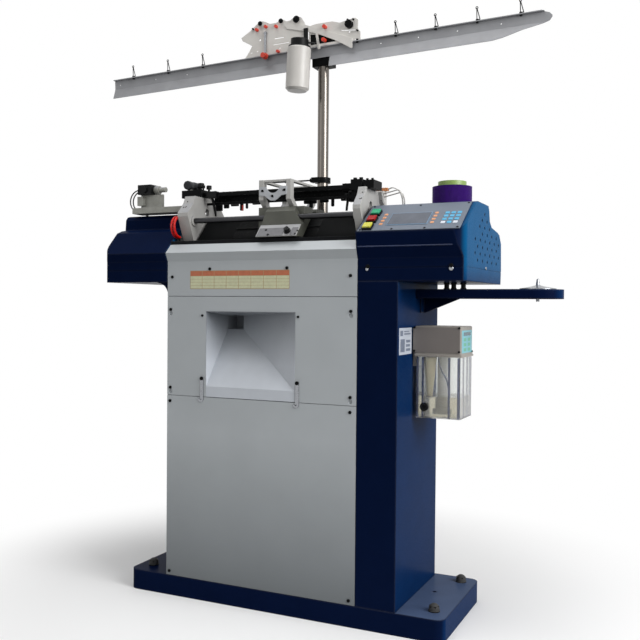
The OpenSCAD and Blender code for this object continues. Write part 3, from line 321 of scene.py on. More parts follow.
@dataclass(frozen=True)
class NavyWithPaintedLight(Finish):
    """Navy powder coat with painted light and shade, and dust on level tops.

    Faces turned to the window (+X), and the right housing's rounded corner, are painted lighter
    as painted light; the pedestal's window side under the right housing is painted darker as
    painted shadow. Level tops are paler from dust and painted light, more so towards +X.

    Attributes:
        painted_window_light: its colour on window-side faces over the pedestal: painted light.
        painted_wing_shadow: its colour on window-side faces of the pedestal: painted shadow.
        dusty_and_lit: its colour on level tops, from dust and painted light.
        facing: the normal's X where the painted light starts and is full.
        wing_shadow_edge: the heights between which the painted shadow turns to painted light.
        corner: the X where the right housing's rounded corner starts and ends.
        slope: the normal's Z where that corner's slope starts to take painted light, and has it
            all.
        dust_and_light_along: the X where dust and painted light start, and are strongest.
        dust_and_light_level: the normal's Z where they start to lie, and lie fully.
        dust_and_light_cover: how much they hide at their strongest.
    """

    painted_window_light: str = "#0C4E7A"
    painted_wing_shadow: str = "#08244A"
    dusty_and_lit: str = "#4E5E7C"
    facing: Pair = (0.7, 1.0)
    wing_shadow_edge: Pair = (1.0, 1.1)
    corner: Pair = (0.586, 0.596)
    slope: Pair = (0.15, 0.4)
    dust_and_light_along: Pair = (-0.35, 0.4)
    dust_and_light_level: Pair = (0.8, 1.0)
    dust_and_light_cover: float = 0.8

    def colour(self, tree: Tree, place: Socket, face: Socket) -> Socket:
        """Navy in front, painted light towards +X, painted shadow under the right housing, and dust
        and painted light on level tops.

        Args:
            tree: the material's nodes.
            place: object coordinates.
            face: the surface's normal.

        Returns:
            The colour's socket.
        """
        turned_to = add_node(tree, "ShaderNodeSeparateXYZ", {"Vector": face}).outputs
        where = add_node(tree, "ShaderNodeSeparateXYZ", {"Vector": place}).outputs
        # Shares of painted light: facing +X, above the housing's painted shadow, and on its rounded
        # corner; and the share of dust and painted light on level tops.
        window_lit_share, clear_of_wing_shadow, beyond, sloped, dust_and_light_share = (
            add_node(
                tree, "ShaderNodeMapRange",
                {"Value": value, "From Min": start, "From Max": end, "To Max": most},
                interpolation_type=curve,
            ).outputs["Result"]
            for value, (start, end), most, curve in (
                (turned_to["X"], self.facing, 1.0, "SMOOTHSTEP"),
                (where["Z"], self.wing_shadow_edge, 1.0, "SMOOTHSTEP"),
                (where["X"], self.corner, 1.0, "LINEAR"),
                (turned_to["Z"], self.slope, 1.0, "LINEAR"),
                (where["X"], self.dust_and_light_along, self.dust_and_light_cover, "LINEAR"),
            )
        )
        corner = add_node(
            tree, "ShaderNodeMath", {0: beyond, 1: sloped}, operation="MULTIPLY"
        ).outputs[0]
        lit = add_node(
            tree, "ShaderNodeMath", {0: window_lit_share, 1: corner}, operation="MAXIMUM"
        ).outputs[0]
        level = add_node(
            tree, "ShaderNodeMapRange",
            {
                "Value": turned_to["Z"], "From Min": self.dust_and_light_level[0],
                "From Max": self.dust_and_light_level[1], "To Max": dust_and_light_share,
            },
        ).outputs["Result"]
        # Painted shadow below the housing, painted light towards the window, then dust and painted
        # light on level tops.
        lit_and_shaded = linear(self.painted_window_light)
        for share, under in ((clear_of_wing_shadow, self.painted_wing_shadow), (lit, self.shade)):
            lit_and_shaded = add_node(
                tree, "ShaderNodeMix", {0: share, 6: linear(under), 7: lit_and_shaded}, data_type="RGBA"
            ).outputs[2]
        return add_node(
            tree, "ShaderNodeMix", {0: level, 6: lit_and_shaded, 7: linear(self.dusty_and_lit)}, data_type="RGBA"
        ).outputs[2]


@dataclass(frozen=True)
class ShadedTowardsOneEnd(Finish):
    """Pale powder coat, painted darker towards one end as painted shade.

    Attributes:
        painted_shade_colour: its colour at that end, where the painted shade is full.
        unshaded_at: the height where it has no painted shade.
        fully_shaded_at: the height where the painted shade is full.
    """

    painted_shade_colour: str = "#5E6366"
    unshaded_at: float = 0.55
    fully_shaded_at: float = 0.05

    def colour(self, tree: Tree, place: Socket, face: Socket) -> Socket:
        """Unshaded at one height, and darker with painted shade towards the other.

        Args:
            tree: the material's nodes.
            place: object coordinates.
            face: the surface's normal.

        Returns:
            The colour's socket.
        """
        height = add_node(tree, "ShaderNodeSeparateXYZ", {"Vector": place}).outputs["Z"]
        share = add_node(
            tree, "ShaderNodeMapRange",
            {"Value": height, "From Min": self.unshaded_at, "From Max": self.fully_shaded_at},
        ).outputs["Result"]
        return add_node(
            tree, "ShaderNodeMix", {0: share, 6: linear(self.shade), 7: linear(self.painted_shade_colour)},
            data_type="RGBA",
        ).outputs[2]


@dataclass(frozen=True)
class LintedCasting(Finish):
    """A casting whose upward faces hold a film of oil and lint, which darkens them.

    Attributes:
        film: the colour of that film.
        lies: the normal's Z where the film starts to lie, and lies fully.
        cover: how much it hides.
    """

    film: str = "#8C8D90"
    lies: Pair = (0.2, 0.7)
    cover: float = 0.85

    def colour(self, tree: Tree, place: Socket, face: Socket) -> Socket:
        """Clean on upright faces and dark on top.

        Args:
            tree: the material's nodes.
            place: object coordinates.
            face: the surface's normal.

        Returns:
            The colour's socket.
        """
        upward = add_node(tree, "ShaderNodeSeparateXYZ", {"Vector": face}).outputs["Z"]
        share = add_node(
            tree, "ShaderNodeMapRange",
            {
                "Value": upward, "From Min": self.lies[0], "From Max": self.lies[1],
                "To Max": self.cover,
            },
        ).outputs["Result"]
        return add_node(
            tree, "ShaderNodeMix", {0: share, 6: linear(self.shade), 7: linear(self.film)},
            data_type="RGBA",
        ).outputs[2]


@dataclass(frozen=True)
class ClearMoulding(Finish):
    """A see-through or milky moulded plastic."""

    transmission: float = 0.9

    def extend(self, shader: bpy.types.Node) -> None:
        """Let light through."""
        shader.inputs["Transmission Weight"].default_value = self.transmission


@dataclass(frozen=True)
class CrossWound(Finish):
    """Yarn laid on a package in crossing helices round an upright axis.

    Attributes:
        axis: X and Y of the package's middle.
        lay_mm: height between two turns.
        starts: how many helices run side by side.
        sheen: strength of the yarn's own lustre.
        sheen_shade: colour of that lustre.
    """

    axis: Pair = (0.0, 0.0)
    lay_mm: float = 1.6
    starts: int = 9
    sheen: float = 0.1
    sheen_shade: str = "#B070D0"

    def grain(self, tree: Tree, place: Socket) -> Socket:
        """Two crossing sets of ridges.

        Args:
            tree: the material's nodes.
            place: object coordinates.

        Returns:
            The height's socket, 0 to 1.
        """
        centred = add_node(
            tree, "ShaderNodeVectorMath", {0: place, 1: (*self.axis, 0.0)}, operation="SUBTRACT"
        ).outputs["Vector"]
        parts = add_node(tree, "ShaderNodeSeparateXYZ", {"Vector": centred}).outputs
        turn = add_node(
            tree, "ShaderNodeMath", {0: parts["Y"], 1: parts["X"]}, operation="ARCTAN2"
        ).outputs[0]
        rise = add_node(
            tree, "ShaderNodeMath", {0: parts["Z"], 1: 2 * math.pi * per_metre(self.lay_mm)},
            operation="MULTIPLY",
        ).outputs[0]
        ridges = []
        for lean in (self.starts, -self.starts):
            phase = add_node(
                tree, "ShaderNodeMath", {0: turn, 1: float(lean), 2: rise},
                operation="MULTIPLY_ADD",
            ).outputs[0]
            ridges.append(
                add_node(tree, "ShaderNodeMath", {0: phase}, operation="SINE").outputs[0]
            )
        highest = add_node(
            tree, "ShaderNodeMath", {0: ridges[0], 1: ridges[1]}, operation="MAXIMUM"
        ).outputs[0]
        return add_node(
            tree, "ShaderNodeMapRange", {"Value": highest, "From Min": -1.0, "From Max": 1.0}
        ).outputs["Result"]

    def extend(self, shader: bpy.types.Node) -> None:
        """Give it the sheen of filament yarn.

        Args:
            shader: the material's shader.
        """
        shader.inputs["Sheen Weight"].default_value = self.sheen
        shader.inputs["Sheen Roughness"].default_value = 0.4
        shader.inputs["Sheen Tint"].default_value = linear(self.sheen_shade)


class Palette(Enum):
    """Every finish of the machine, by the name the rest of the script uses.

    The real grain of ground, drawn and moulded surfaces is 0.05 to 0.4 mm wide. It is drawn
    0.8 to 2 mm wide, as coarse as it needs to be to show.
    """

    # Navy polyester powder on folded sheet: soft gloss and a fine orange peel. Its window-side
    # faces carry painted light, and the pedestal's side under the housing carries painted shadow.
    NAVY = NavyWithPaintedLight(
        "navy_powder_coat", "#07132F", 0.3, grain_mm=2.2, grain_depth_mm=0.05, edge_mm=7.0,
        edge_wear_and_highlight=0.06, specular=0.008,
    )
    # Navy powder, lighter and glossier, laid on the housing's crease bead as a painted highlight.
    NAVY_HIGHLIGHT = Finish(
        "navy_painted_highlight", "#1E2B4C", 0.25, grain_mm=2.2, grain_depth_mm=0.03,
        mottle=0.3, mottle_mm=50.0, edge_mm=0.8, specular=0.3,
    )
    # Pale grey powder: satin, so the panels show only broad soft highlights; painted darker towards
    # the floor as painted shade.
    PALE = ShadedTowardsOneEnd(
        "pale_grey_powder_coat", "#A9AEB1", 0.42, grain_mm=2.0, grain_depth_mm=0.04,
        mottle=0.03, mottle_mm=140.0, edge_mm=1.2, edge_wear_and_highlight=0.3,
    )
    # White powder inside the chute, painted darker towards its throat as painted shade in the
    # recess.
    CHUTE = ShadedTowardsOneEnd(
        "white_chute_paint", "#BEC3CA", 0.4, grain_mm=2.0, grain_depth_mm=0.03, mottle=0.03,
        edge_mm=1.0, painted_shade_colour="#5C6167", unshaded_at=0.77, fully_shaded_at=0.97,
    )
    # White polyester powder on laser-cut plate: clean and satin, its cut edges paler from rubbing
    # and a painted highlight.
    STAND_POWDER = Finish(
        "white_powder_on_cut_plate", "#D0CDC8", 0.45, grain_mm=1.6, grain_depth_mm=0.03,
        mottle=0.04, edge_mm=0.8, edge_wear_and_highlight=0.2,
    )
    # Paint over sand-cast iron: dark, with the sand's pebbling showing through.
    CAST_IRON = Finish(
        "painted_cast_iron", "#161719", 0.55, grain_mm=3.5, grain_depth_mm=0.15, mottle=0.15,
        edge_mm=1.5, edge_wear_and_highlight=0.2, specular=0.05,
    )
    # Ground tool steel, oiled: dark, and darker still as painted shade under the rails, with fine
    # lines along the bed.
    GROUND_STEEL_IN_SHADE = Finish(
        "ground_tool_steel_painted_shade", "#0B0C0D", 0.42, grain_mm=1.4, grain_depth_mm=0.03,
        stretch=(0.05, 1.0, 1.0), mottle=0.15, edge_mm=0.5, edge_wear_and_highlight=0.2, specular=0.02,
    )
    # Cast aluminium, shot-blasted: pale, matt and faintly grainy.
    CAST_ALUMINIUM = LintedCasting(
        "shot_blasted_aluminium", "#A6A5A2", 0.55, metallic=0.2, grain_mm=1.0,
        grain_depth_mm=0.05, mottle=0.08, edge_mm=0.9, edge_wear_and_highlight=0.35,
    )
    # The lower cam cover, of milled aluminium: dull grey under oil, bright at its edges from wear
    # and a painted highlight.
    CAM_COVER = Finish(
        "oiled_milled_aluminium", "#58585B", 0.45, metallic=0.3, grain_mm=1.0,
        grain_depth_mm=0.03, stretch=(0.1, 1.0, 1.0), mottle=0.12, mottle_mm=18.0, edge_mm=0.5,
        edge_wear_and_highlight=0.5,
    )
    # The feeder's die-cast frame: bare, blotched and a little yellowed by oil.
    FEEDER_CASTING = LintedCasting(
        "bare_die_casting", "#8F8F88", 0.5, metallic=0.2, grain_mm=1.0, grain_depth_mm=0.05,
        mottle=0.14, mottle_mm=16.0, edge_mm=0.8, edge_wear_and_highlight=0.35,
    )
    # The carriage's cam castings, of oiled grey iron: dark, with a dull metal gleam.
    GREY_CASTING = Finish(
        "oiled_grey_casting", "#4A4B44", 0.5, metallic=0.3, grain_mm=1.4, grain_depth_mm=0.06,
        mottle=0.14, edge_mm=0.8, edge_wear_and_highlight=0.3,
    )
    # Black oxide on steel: nearly black, with an oily sheen.
    BLACK_OXIDE = Finish(
        "black_oxide_steel", "#0B0C0D", 0.42, grain_mm=1.0, grain_depth_mm=0.03, mottle=0.2,
        edge_mm=0.6, edge_wear_and_highlight=0.16, specular=0.05,
    )
    # Zinc-plated and ground steel: bright and slightly streaked.
    BRIGHT_STEEL = Finish(
        "zinc_plated_steel", "#8E9094", 0.28, metallic=1.0, grain_mm=0.8, grain_depth_mm=0.02,
        stretch=(0.1, 1.0, 1.0), mottle=0.1, edge_mm=0.4, edge_wear_and_highlight=0.3,
    )
    # Drawn guide bar, dark with way oil: one long soft highlight.
    OILED_BAR = Finish(
        "oiled_guide_bar", "#343436", 0.3, metallic=0.9, grain_mm=0.9, grain_depth_mm=0.02,
        stretch=(0.05, 1.0, 1.0), mottle=0.1, edge_mm=0.5, edge_wear_and_highlight=0.1,
    )
    # Latch needles under an oil film: dark, and bright only along their edges, from wear and a
    # painted highlight.
    NEEDLE_STEEL = Finish(
        "oiled_needle_steel", "#121314", 0.36, metallic=0.1, grain_mm=0.8, grain_depth_mm=0.02,
        stretch=(0.1, 1.0, 1.0), mottle=0.2, edge_mm=0.3, edge_wear_and_highlight=0.2, specular=0.1,
    )
    # Drawn stainless tube, brushed round its girth: an upright band of light, finely crossed.
    STAINLESS = Finish(
        "drawn_stainless_tube", "#6C6762", 0.2, metallic=1.0, grain_mm=0.9,
        grain_depth_mm=0.015, stretch=(0.4, 0.4, 3.0), mottle=0.05, edge_mm=0.5,
    )
    # Folded aluminium sheet, mill finish: pale grey and soft.
    MILL_ALUMINIUM = Finish(
        "mill_finish_aluminium", "#8A8B8E", 0.5, metallic=0.2, grain_mm=1.2,
        grain_depth_mm=0.03, stretch=(0.05, 1.0, 1.0), mottle=0.08, edge_mm=0.6,
    )
    # Printed polyester film on the console: satin grey.
    CONSOLE_FILM = Finish(
        "printed_polyester_film", "#69717D", 0.36, grain_mm=0.8, grain_depth_mm=0.01,
        mottle=0.03, edge_mm=0.6, specular=0.15,
    )
    # The same film where it is printed blue: an even satin frame round the display.
    FILM_BLUE = Finish(
        "blue_print", "#5F7E9A", 0.36, grain_mm=0.8, grain_depth_mm=0.01, mottle=0.03,
    )
    # The unlit display under its window: smooth, grey and faintly cloudy.
    LCD = Finish(
        "display_window", "#5A5F69", 0.2, grain_mm=6.0, grain_depth_mm=0.005, mottle=0.12,
        mottle_mm=40.0, edge_mm=0.3, specular=0.2,
    )
    # Domed membrane keys, printed from behind: clear colour, unevenly pressed.
    KEY_CYAN = Finish("cyan_key_film", "#3E9CC4", 0.4, mottle=0.1, mottle_mm=4.0, edge_mm=0.6)
    KEY_ORANGE = Finish("orange_key_film", "#C98A5E", 0.4, mottle=0.1, mottle_mm=4.0, edge_mm=0.6)
    KEY_WHITE = Finish("white_key_film", "#C9CFD8", 0.4, mottle=0.06, mottle_mm=4.0, edge_mm=0.6)
    # Moulded black ABS: a fine spark texture that keeps it matt.
    BLACK_ABS = Finish(
        "black_abs", "#0C0D0E", 0.42, grain_depth_mm=0.04, edge_mm=0.8, edge_wear_and_highlight=0.12,
        specular=0.12,
    )
    # Knurled black nylon: broken up into small lights by the knurling.
    KNURLED = Finish(
        "knurled_black_nylon", "#26272A", 0.45, grain_mm=3.0, grain_depth_mm=0.3, mottle=0.3,
        mottle_mm=12.0, edge_mm=0.8, edge_wear_and_highlight=0.2, specular=0.15,
    )
    # Moulded ABS and nylon in pale colours: satin, with soft moulded edges.
    WHITE_ABS = Finish("white_abs", "#C4C2BE", 0.42, grain_depth_mm=0.03, edge_mm=0.8)
    GREY_ABS = Finish("light_grey_abs", "#ABAEB2", 0.42, grain_depth_mm=0.03, edge_mm=0.8)
    BEIGE_ABS = Finish("warm_grey_abs", "#8C8780", 0.46, grain_depth_mm=0.05, edge_mm=1.5)
    CREAM_NYLON = Finish("cream_nylon", "#C2B594", 0.5, grain_depth_mm=0.04, edge_mm=0.8)
    # Coloured acrylic push buttons: glossy and evenly lit through.
    GREEN_ACRYLIC = Finish(
        "green_button_acrylic", "#2FA476", 0.25, mottle=0.04, coat=0.5, edge_mm=1.2,
    )
    RED_ACRYLIC = Finish(
        "red_button_acrylic", "#9C1214", 0.3, mottle=0.04, edge_mm=1.2, edge_wear_and_highlight=0.05,
        specular=0.2,
    )
    YELLOW_ACRYLIC = Finish(
        "yellow_button_acrylic", "#C9C62E", 0.25, mottle=0.04, coat=0.5, edge_mm=1.2,
    )
    # Moulded red polyamide knobs: strong colour with a soft shine.
    RED_PLASTIC = Finish("red_moulded_knob", "#CC3A26", 0.38, edge_mm=0.7)
    # Extruded polyurethane hose: smooth, glossy and a little uneven in depth of colour.
    RED_HOSE = Finish(
        "red_polyurethane_hose", "#BC1008", 0.3, mottle=0.12, mottle_mm=8.0, edge_wear_and_highlight=0.05,
        specular=0.25,
    )
    # Moulded rubber: matt and dusty black.
    BLACK_RUBBER = Finish(
        "black_rubber", "#0C0C0C", 0.6, grain_mm=1.5, edge_mm=0.4, edge_wear_and_highlight=0.1, specular=0.12,
    )
    # Moulded connector shells: dull orange.
    ORANGE_PLASTIC = Finish("orange_connector", "#B4703A", 0.42, edge_mm=0.5)
    # Blown polythene: milky, lets a little light through.
    MILKY = ClearMoulding(
        "milky_polythene", "#D3D0CB", 0.38, mottle=0.04, transmission=0.25, edge_mm=1.5,
    )
    # Injection-moulded clear acrylic: edges painted paler as a painted highlight, and whatever is
    # behind it.
    CLEAR = ClearMoulding(
        "clear_acrylic", "#F2F4F2", 0.06, ior=1.49, grain_depth_mm=0.005, mottle=0.02,
        transmission=0.96, edge_mm=0.8, edge_wear_and_highlight=0.5,
    )
    # Fresh mineral oil: clear, and the palest straw yellow.
    OIL = ClearMoulding(
        "machine_oil", "#DCD3BE", 0.05, ior=1.47, grain_depth_mm=0.0, mottle=0.04,
        transmission=0.9, edge_mm=0.3,
    )
    # The tank's moulded corners, tinted navy: a painted reflection of the dark pedestal's image,
    # bent into them.
    TANK_PAINTED_IMAGE = ClearMoulding(
        "tank_edge_painted_reflection", "#5C6690", 0.12, ior=1.49, mottle=0.05, transmission=0.55,
        edge_mm=0.6,
    )
    # Dark ink under the lubricator's window: glossy, with a cloudy depth.
    WINDOW_INK = Finish(
        "dark_window_print", "#1E4E5C", 0.25, mottle=0.2, mottle_mm=4.0, edge_mm=0.3,
    )
    # The lubricator's moulded front plate: a darker, plainer grey than its housing.
    WARM_PLATE = Finish(
        "warm_grey_plate", "#6E6864", 0.42, grain_depth_mm=0.03, mottle=0.05, edge_mm=0.8,
    )
    # Polyester yarn wound crosswise: deep purple, ribbed on the slant, with a faint lustre.
    YARN = CrossWound(
        "cross_wound_purple_yarn", "#2C095C", 0.5, grain_depth_mm=0.5, mottle=0.15,
        mottle_mm=9.0, edge_mm=1.0, specular=0.08, axis=(0.503, -0.006),
    )
    # The yarn's moulded winding tube: plain green with a soft shine.
    GREEN_TUBE = Finish("green_moulded_tube", "#7E9A4E", 0.4, edge_mm=0.8)
    # Screen-printed inks on film and vinyl: flat and satin, a little patchy where they thin.
    TEAL_PRINT = Finish("turquoise_print", "#63AAB6", 0.35, mottle=0.03, edge_mm=0.3)
    TEAL_INK = Finish("green_print", "#4E9E7E", 0.4, mottle=0.1, mottle_mm=3.0, edge_mm=0.2)
    HEADER_PRINT = Finish(
        "orange_print", "#B3633F", 0.4, mottle=0.1, mottle_mm=12.0, edge_mm=0.2,
    )
    FIELD_PRINT = Finish(
        "pale_green_print", "#C6C7A4", 0.4, mottle=0.08, mottle_mm=10.0, edge_mm=0.2,
    )
    RULE_PRINT = Finish("ochre_rule_print", "#A38A62", 0.4, mottle=0.05, edge_mm=0.2)
    STICKER_INK = Finish(
        "grey_vinyl_ink", "#6E7686", 0.4, mottle=0.25, mottle_mm=4.0, edge_mm=0.2,
    )
    # Calendered white vinyl: smooth and slightly shiny.
    STICKER = Finish("white_vinyl", "#B6BCC6", 0.35, mottle=0.04, edge_mm=0.3)


def made_finish(finish: Finish) -> bpy.types.Material:
    """The finish's material, built once."""
    found = bpy.data.materials.get(finish.name)
    return found if found else finish.build()


# Mesh helpers ------------------------------------------------------------------------------------


def mesh_object(name: str, build: Mesh, smooth_below: float = 40.0) -> bpy.types.Object:
    """Turn a bmesh into an object in the scene.

    Args:
        name: the object's name.
        build: the mesh under construction; it is freed.
        smooth_below: faces that meet at less than this many degrees are shaded smooth.

    Returns:
        The new object.
    """
    bmesh.ops.recalc_face_normals(build, faces=build.faces)
    mesh = bpy.data.meshes.new(name)
    build.to_mesh(mesh)
    build.free()
    mesh.shade_smooth()
    mesh.set_sharp_from_angle(angle=math.radians(smooth_below))
    piece = bpy.data.objects.new(name, mesh)
    bpy.context.scene.collection.objects.link(piece)
    return piece


def fit(
    name: str, finish: Palette, build: Mesh, body: Body = Body.FRAME,
    smooth_below: float = 40.0,
) -> bpy.types.Object:
    """Make a new piece, give it its finish and let it ride.

    Args:
        name: the piece's name.
        finish: what it is made of.
        build: its mesh, which is freed.
        body: what it rides on.
        smooth_below: see mesh_object.

    Returns:
        The piece.
    """
    piece = mesh_object(name, build, smooth_below)
    piece.data.materials.append(made_finish(finish.value))
    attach(piece, body.value)
    log.info("made %s", name)
    return piece


@dataclass(frozen=True)
class Plane:
    """A flat place on the machine that small pieces are laid out on.

    Attributes:
        origin: the point that u = v = 0 stands for.
        across: direction of u.
        up: direction of v.
    """

    origin: Vector
    across: Vector
    up: Vector

    @property
    def out(self) -> Vector:
        """Direction that points off the surface."""
        return self.across.cross(self.up).normalized()

    def at(self, u: float, v: float, height: float = 0.0) -> Vector:
        """The point at u, v and a height over the surface, all in metres."""
        return self.origin + self.across * u + self.up * v + self.out * height


def face_of(node: str, out: Vector, up: Vector) -> tuple[Plane, float, float]:
    """The face of a solid that looks along out.

    Args:
        node: the solid.
        out: where the face looks.
        up: the direction of v on it.

    Returns:
        The plane, from the face's lower left corner, and its width and height.
    """
    across = up.cross(out)
    points = [v.co for v in frame["nodes"][node].data.vertices]
    along = [p.dot(across) for p in points]
    rise = [p.dot(up) for p in points]
    off = max(p.dot(out) for p in points)
    origin = across * min(along) + up * min(rise) + out * off
    return Plane(origin, across, up), max(along) - min(along), max(rise) - min(rise)


def joint_axis(body: Body) -> Vector:
    """Direction, of length 1, of the joint that moves a body."""
    joint = next(j for j in frame["joints"] if j["child"] == body.value)
    return Vector(joint["axis"]).normalized()


def lofted(rings: Iterable[Sequence[Vector]]) -> Mesh:
    """A closed solid through rings of points.

    Args:
        rings: the rings, each of as many points, from one end to the other.

    Returns:
        The solid's mesh, flat at both ends.
    """
    build = bmesh.new()
    made = [[build.verts.new(point) for point in ring] for ring in rings]
    for lower, upper in zip(made, made[1:]):
        for i, corner in enumerate(lower):
            after = (i + 1) % len(lower)
            build.faces.new((corner, lower[after], upper[after], upper[i]))
    build.faces.new(made[-1])
    build.faces.new(list(reversed(made[0])))
    return build


def circle(
    middle: Vector, side: Vector, other: Vector, radius: float, sides: int
) -> list[Vector]:
    """Points round a circle.

    Args:
        middle: its middle.
        side: direction of its first point.
        other: direction of the point a quarter turn on.
        radius: its radius.
        sides: how many points.

    Returns:
        The points.
    """
    turns = [2 * math.pi * k / sides for k in range(sides)]
    return [
        middle + side * (radius * math.cos(turn)) + other * (radius * math.sin(turn))
        for turn in turns
    ]


def slab(
    plane: Plane, low: Pair, high: Pair, base: float, height: float, corner: float,
    steps: int = 4,
) -> Mesh:
    """A thin plate with rounded corners and a chamfered upper edge.

    Args:
        plane: what it lies on.
        low: its lowest u and v.
        high: its highest u and v.
        base: height of its underside over the plane.
        height: its thickness.
        corner: radius of its corners.
        steps: segments in a corner.

    Returns:
        The plate's mesh.
    """
    chamfer = min(height * 0.45, corner * 0.6)
    middles = (
        (high[0] - corner, high[1] - corner), (low[0] + corner, high[1] - corner),
        (low[0] + corner, low[1] + corner), (high[0] - corner, low[1] + corner),
    )
    arcs = [
        (u, v, math.pi / 2 * (quarter + step / steps))
        for quarter, (u, v) in enumerate(middles)
        for step in range(steps + 1)
    ]
    rings = []
    for inset, level in ((0.0, base), (0.0, base + height - chamfer), (chamfer, base + height)):
        radius = max(corner - inset, 1e-5)
        rings.append(
            [
                plane.at(u + radius * math.cos(turn), v + radius * math.sin(turn), level)
                for u, v, turn in arcs
            ]
        )
    return lofted(rings)


def turned(foot: Vector, axis: Vector, profile: Sequence[Pair], sides: int = 32) -> Mesh:
    """A turned solid.

    Args:
        foot: the point on its axis that heights count from.
        axis: direction of its axis.
        profile: radius and height of each ring, from one end to the other.
        sides: segments round the axis.

    Returns:
        The solid's mesh.
    """
    axis = axis.normalized()
    side = axis.orthogonal().normalized()
    other = axis.cross(side)
    return lofted(
        circle(foot + axis * height, side, other, radius, sides) for radius, height in profile
    )


def eased(points: Sequence[Vector], steps: int = 8) -> list[Vector]:
    """A smooth line through some points.

    Args:
        points: where the line goes.
        steps: how many points it gets between two of them.

    Returns:
        Points along the line.
    """
    ends = [points[0] * 2 - points[1], *points, points[-1] * 2 - points[-2]]
    line = []
    for before, start, end, after in zip(ends, ends[1:], ends[2:], ends[3:]):
        bend = before * 2 - start * 5 + end * 4 - after
        twist = start * 3 - before - end * 3 + after
        for t in (step / steps for step in range(steps)):
            line.append((start * 2 + (end - before) * t + bend * t**2 + twist * t**3) * 0.5)
    return [*line, points[-1].copy()]


def tube(line: Sequence[Vector], radius: float, sides: int = 16) -> Mesh:
    """A round tube along a line, closed at both ends.

    Args:
        line: points along its middle.
        radius: its radius.
        sides: segments round it.

    Returns:
        The tube's mesh.
    """
    side = (line[1] - line[0]).normalized().orthogonal().normalized()
    rings = []
    for i, point in enumerate(line):
        onward = (line[min(i + 1, len(line) - 1)] - line[max(i - 1, 0)]).normalized()
        side = (side - onward * side.dot(onward)).normalized()
        rings.append(circle(point, side, onward.cross(side), radius, sides))
    return lofted(rings)


def joined(parts: Iterable[Mesh]) -> Mesh:
    """Put several meshes into one.

    Args:
        parts: the meshes; each is freed.

    Returns:
        One mesh with all their faces.
    """
    whole = bmesh.new()
    for part in parts:
        step = bpy.data.meshes.new("step")
        part.to_mesh(step)
        part.free()
        whole.from_mesh(step)
        bpy.data.meshes.remove(step)
    return whole


class Head(Enum):
    """Small fasteners: rings (share of the radius, height in mm), depth sunk in mm, sides."""

    PAN = (((1, 0), (1, 0.7), (0.8, 1.3), (0.35, 1.5), (0.3, 0.9)), 0.0, 20)
    CAP = (((1, 0), (1, 2.0), (2.8 / 3.4, 2.8), (1.4 / 3.4, 2.8), (1.3 / 3.4, 1.4)), -0.2, 18)
    SOCKET = (((1, 0), (1, 1.8), (0.85, 2.4), (0.5, 2.4), (0.45, 1.2)), 0.6, 20)
    QUARTER_TURN = (((1, 0), (1, 1.6), (0.85, 2.6), (0.55, 2.6), (0.5, 1.2)), 0.5, 28)
    RAIL_STUD = (((1, 0), (1, 1.5), (1.4 / 2.6, 2.2), (0.5, 1.0)), 0.5, 16)
    STOP_BOLT = (((1, 0), (1, 2.5), (2.6 / 4.2, 3.4), (2.4 / 4.2, 1.6)), 0.5, 18)

    def on(self, plane: Plane, u: float, v: float, radius: float) -> Mesh:
        """Set one into a face.

        Args:
            plane: the face.
            u: its place across.
            v: its place up.
            radius: its own radius.

        Returns:
            Its mesh, the middle sunk for the key.
        """
        rings, sunk, sides = self.value
        profile = [(share * radius, height * MM) for share, height in rings]
        return turned(plane.at(u, v, -sunk * MM), plane.out, profile, sides)


# Sub-assemblies ----------------------------------------------------------------------------------


